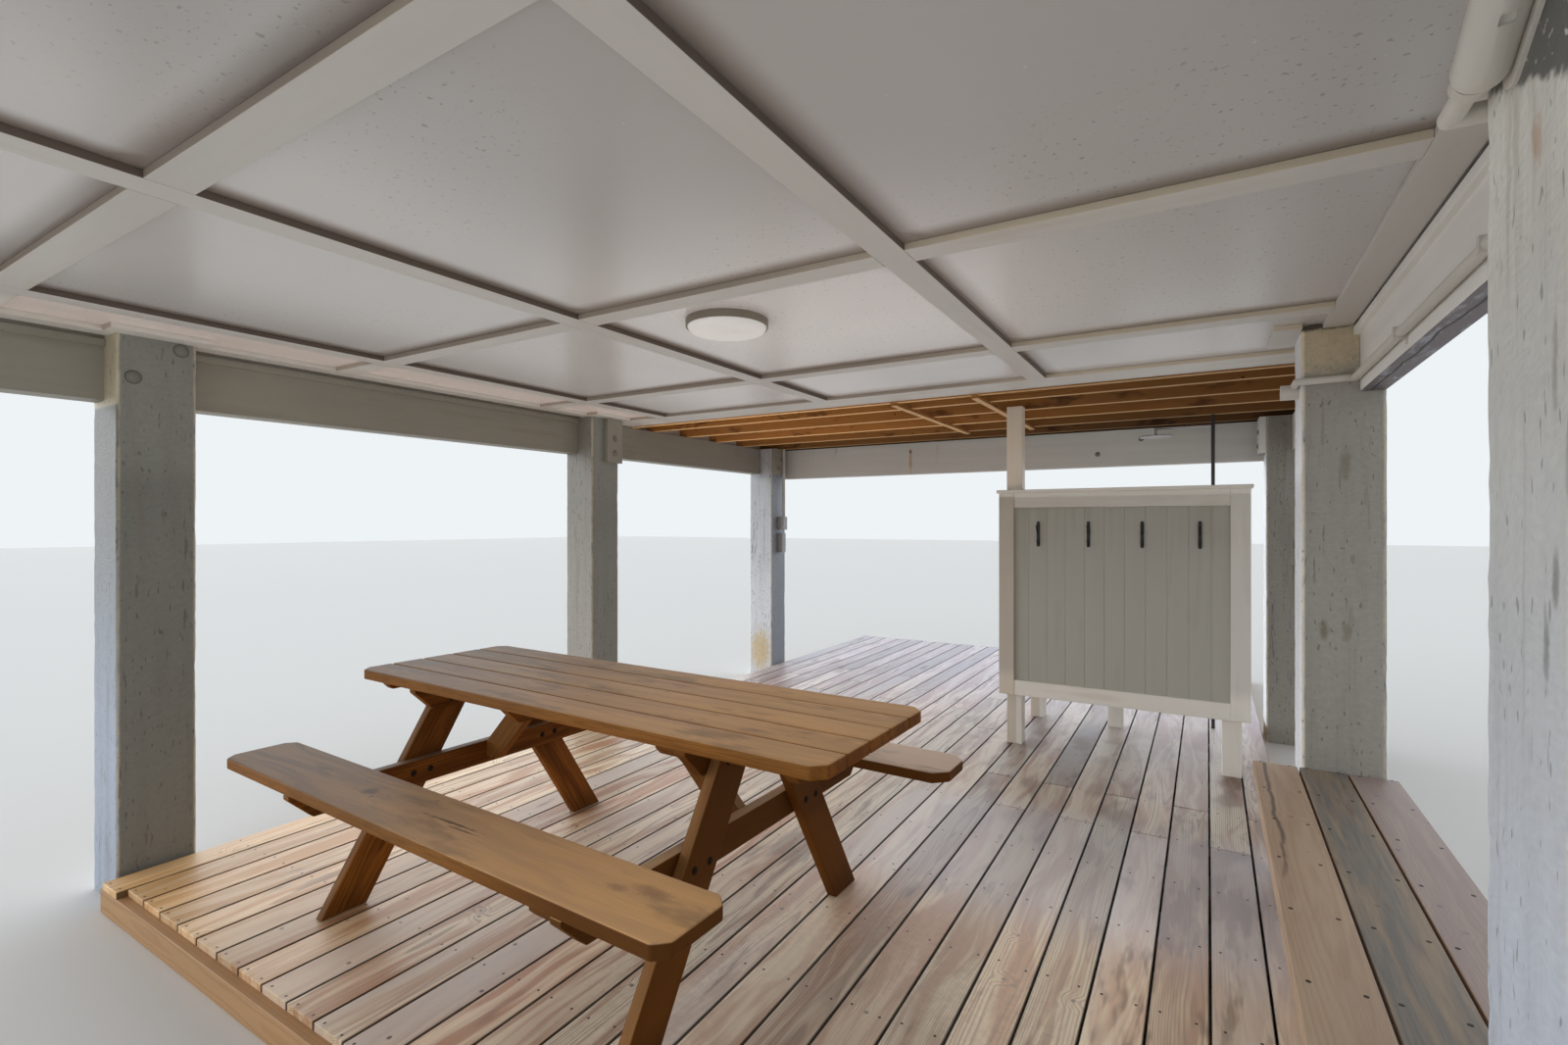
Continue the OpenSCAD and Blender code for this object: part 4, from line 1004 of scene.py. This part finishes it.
def add_table_bolts():
    """Washers and heads at each crossing of a leg with the beam or cleat beside it."""
    above_cleat, half_apart = 0.03, 0.032
    pieces = Pieces("table_bolts")
    turn = Matrix.Rotation(TABLE_TURN, 3, "Z")
    long = turn @ TO_RIGHT
    sideways = turn @ TO_FAR
    low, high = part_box("table_top")
    centre = (low + high) / 2
    beam_low, beam_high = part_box("table_seat_beams")
    cleat_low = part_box("table_cleats")[0]
    heights = ((beam_low.z + beam_high.z) / 2, cleat_low.z + above_cleat)
    for solid in lone_solids("table_legs"):
        bottom = min(vert.co.z for vert in solid.verts)
        top = max(vert.co.z for vert in solid.verts)
        feet = [vert.co for vert in solid.verts if vert.co.z < bottom + 0.001]
        heads = [vert.co for vert in solid.verts if vert.co.z > top - 0.001]
        foot = sum(feet, Vector()) / len(feet)
        head = sum(heads, Vector()) / len(heads)
        lengthwise = [vert.co.dot(long) for vert in solid.verts]
        thick = max(lengthwise) - min(lengthwise)
        solid.free()
        out = long if (foot - centre).dot(long) > 0 else -long
        for height in heights:
            line = foot + (head - foot) * ((height - bottom) / (top - bottom))
            for shift in (-half_apart, half_apart):
                place = line + sideways * shift
                for face, way in ((thick / 2, out), (-thick * 1.5, -out)):
                    bolt = bolt_head(washer=0.011, head=0.007, tall=0.005)
                    pieces.add(stand(bolt, place + out * face, way), WORLD_AXES, 0)
    black = metal("bolt black", srgb(40, 27, 20), roughness=0.75, metallic=0.1, specular=0.2)
    pieces.build(black, weighted=False)


def add_bench_screws():
    """Rows of screws across the bench, two to a board, spaced as the joists these boards once lay on."""
    from_end = 0.213
    spacing = 0.301
    half_apart = 0.046
    stray = 0.006
    pieces = Pieces("bench_screws")
    lot = random.Random("bench screws")
    for solid in lone_solids("bench_boards"):
        xs = [vert.co.x for vert in solid.verts]
        solid.free()
        middle = (min(xs) + max(xs)) / 2
        for k in range(int((BENCH_HIGH.y - BENCH_LOW.y - from_end) / spacing) + 1):
            for side in (-half_apart, half_apart):
                x = middle + side + lot.uniform(-stray, stray)
                y = BENCH_LOW.y + from_end + k * spacing + lot.uniform(-stray, stray)
                head = screw_head(radius=0.0052)
                pieces.add(stand(head, Vector((x, y, BENCH_HIGH.z)), UP), WORLD_AXES, 0)
    rusty = metal("bench screw rust", srgb(46, 34, 28), roughness=0.7, metallic=0.4)
    pieces.build(rusty, weighted=False)


def add_frame_bolts():
    """Painted bolts on the posts, the blocks and the far beam, each with a dark line of dirt round it."""
    bolts, dirt = Pieces("frame_bolts"), Pieces("bolt_dirt")

    def fasten(place, outward, washer, head, tall):
        bolts.add(stand(bolt_head(washer, head, tall), place, outward), WORLD_AXES, 0)
        wide = washer + 0.0025
        ring = turned([(0, -0.001), (wide, -0.001), (washer + 0.002, 0.0006), (0, 0.0006)], 20)
        dirt.add(stand(ring, place, outward), WORLD_AXES, 0)

    inner_left, inner_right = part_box("post_left_2")[1].x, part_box("post_right_4")[0].x
    big, middling, small = (0.024, 0.018, 0.010), (0.019, 0.012, 0.008), (0.016, 0.010, 0.007)
    for y, z in ((2.444, 2.006), (2.591, 2.136), (0.10, 2.065), (0.19, 2.10)):
        fasten(Vector((inner_left, plan(0, y, z).y, z)), TO_RIGHT, *big)
    for y, z in ((4.965, 2.03), (4.965, 1.93), (7.17, 2.06), (7.12, 1.97)):
        fasten(Vector((inner_left + BLOCK_THICK, plan(0, y, z).y, z)), TO_RIGHT, *middling)
    for y, z in ((7.12, 2.06), (7.18, 1.97)):
        fasten(Vector((inner_right - BLOCK_THICK, plan(0, y, z).y, z)), TO_LEFT, *middling)
    for x, z in ((3.35, 2.08), (3.05, 1.98)):
        fasten(Vector((plan(x, 0, z).x, FAR_BEAM_Y, z)), TO_NEAR, *small)
    bolts.build(metal("bolt paint", srgb(126, 124, 118), roughness=0.6), weighted=False)
    dirt.build(metal("bolt dirt paint", srgb(58, 56, 50), roughness=0.9), weighted=False)


# Stage, lights and camera

LIGHT_FROM = {"left": 5.6, "right": 0.05, "near": 1.2, "far": 3.6, "above": 0.6}
LIGHT_COLOUR = (0.90, 0.95, 1.0, 1.0)
BACKGROUND = srgb(238, 243, 246)
UPLIGHT_WATTS = 14
UPLIGHT_LOW = plan(0.35, 0.3, 1.6)
UPLIGHT_HIGH = plan(4.0, 7.0, 1.6)
FLOOR_HALF = 60.0
SENSOR_MM = 36.0
LENS_MM = 16.155
CAMERA_SHIFT = 0.0012
CAMERA_AT = plan(3.775, 1.420, 1.441)
CAMERA_TURN = math.radians(31.05)
LEVEL = math.radians(90)


def make_stage():
    """A plain pale floor far wider than the part."""
    mesh = bpy.data.meshes.new("floor")
    far = FLOOR_HALF
    mesh.from_pydata([(-far, -far, 0), (far, -far, 0), (far, far, 0), (-far, far, 0)], [], [(0, 1, 2, 3)])
    g = Graph("floor pale")
    mesh.materials.append(g.finish(srgb(224, 222, 218), 0.9, 0.1))
    floor = bpy.data.objects.new("floor", mesh)
    bpy.context.scene.collection.objects.link(floor)


class Surround(Graph):
    """The light that comes from all round, by its direction."""

    def __init__(self, name):
        self.own(bpy.data.worlds.new(name), "Background")

    def direction(self):
        return self.split(self.add("TexCoord").outputs["Generated"])


def make_lights():
    """A soft surround, brightest at the left side, that the camera sees as plain and pale."""
    g = Surround("surround")
    x, y, z = g.direction()
    sides = x * x + y * y + 0.0001
    across = x.smooth(-0.2, 0.2, LIGHT_FROM["left"], LIGHT_FROM["right"])
    along = y.smooth(-0.2, 0.2, LIGHT_FROM["near"], LIGHT_FROM["far"])
    level = (x * x * across + y * y * along) / sides
    above = z.smooth(0.25, 0.6)
    strength = level * (1 - above) + LIGHT_FROM["above"] * above
    seen = Field(g, g.add("LightPath").outputs["Is Camera Ray"])
    g.feed(g.shader.inputs["Strength"], strength * (1 - seen) + seen)
    g.feed(g.shader.inputs["Color"], g.mix(seen, LIGHT_COLOUR, BACKGROUND))
    bpy.context.scene.world = g.material
    bpy.context.scene.view_settings.view_transform = "Standard"


def add_uplight():
    """Soft light on the ceiling from a wide panel under it, which the camera doesn't see."""
    data = bpy.data.lights.new("uplight", "AREA")
    data.shape = "RECTANGLE"
    data.size = UPLIGHT_HIGH.x - UPLIGHT_LOW.x
    data.size_y = UPLIGHT_HIGH.y - UPLIGHT_LOW.y
    data.energy = UPLIGHT_WATTS
    light = bpy.data.objects.new("uplight", data)
    light.location = (UPLIGHT_LOW + UPLIGHT_HIGH) / 2
    light.rotation_euler = (math.pi, 0, 0)
    light.visible_camera = False
    light.visible_glossy = False
    bpy.context.scene.collection.objects.link(light)


def make_camera():
    """The photo's view: level, turned to the left of the part's length."""
    data = bpy.data.cameras.new("camera")
    data.sensor_width = SENSOR_MM
    data.lens = LENS_MM
    data.shift_y = CAMERA_SHIFT
    data.clip_start = 0.05
    camera = bpy.data.objects.new("camera", data)
    camera.location = CAMERA_AT
    camera.rotation_euler = (LEVEL, 0, CAMERA_TURN)
    bpy.context.scene.collection.objects.link(camera)
    bpy.context.scene.camera = camera


LONG_BATTENS = centres("long_battens", 0)
CROSS_BATTENS = sorted({round(middle, 3) for middle in centres("cross_battens", 1)})
BATTEN_HALF = LONG_BATTENS[0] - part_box("long_battens")[0].x
SCREEN_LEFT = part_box("screen_stiles")[0].x
MATERIALS = make_materials()
ROUGH_POSTS = [node for node in frame["nodes"] if node.startswith("post_") and node != "post_trims"]
USUAL_EDGE = 0.003
EDGES = {
    "table_top": 0.005, "table_legs": 0.005, "seat_near": 0.006, "seat_far": 0.006, "bench_boards": 0.004,
    "long_battens": 0.0015, "cross_battens": 0.0015, "border_battens": 0.0015, "post_trims": 0.0015,
    "ceiling_panels": 0.001, "coat_hooks": 0.001, "light_base": 0.001, "shower_head": 0.0015,
    "light_diffuser": 0.0, "beam_conduit": 0.0, "shower_pipe": 0.0, "outlet_conduit": 0.0,
    "conduit_fittings": 0.0,
}

for node in sorted(frame["nodes"]):
    dress(node, EDGES.get(node, USUAL_EDGE), before=rough_corners if node in ROUGH_POSTS else None)
add_deck_screws()
add_bench_screws()
add_table_bolts()
add_frame_bolts()
make_stage()
make_lights()
add_uplight()
make_camera()
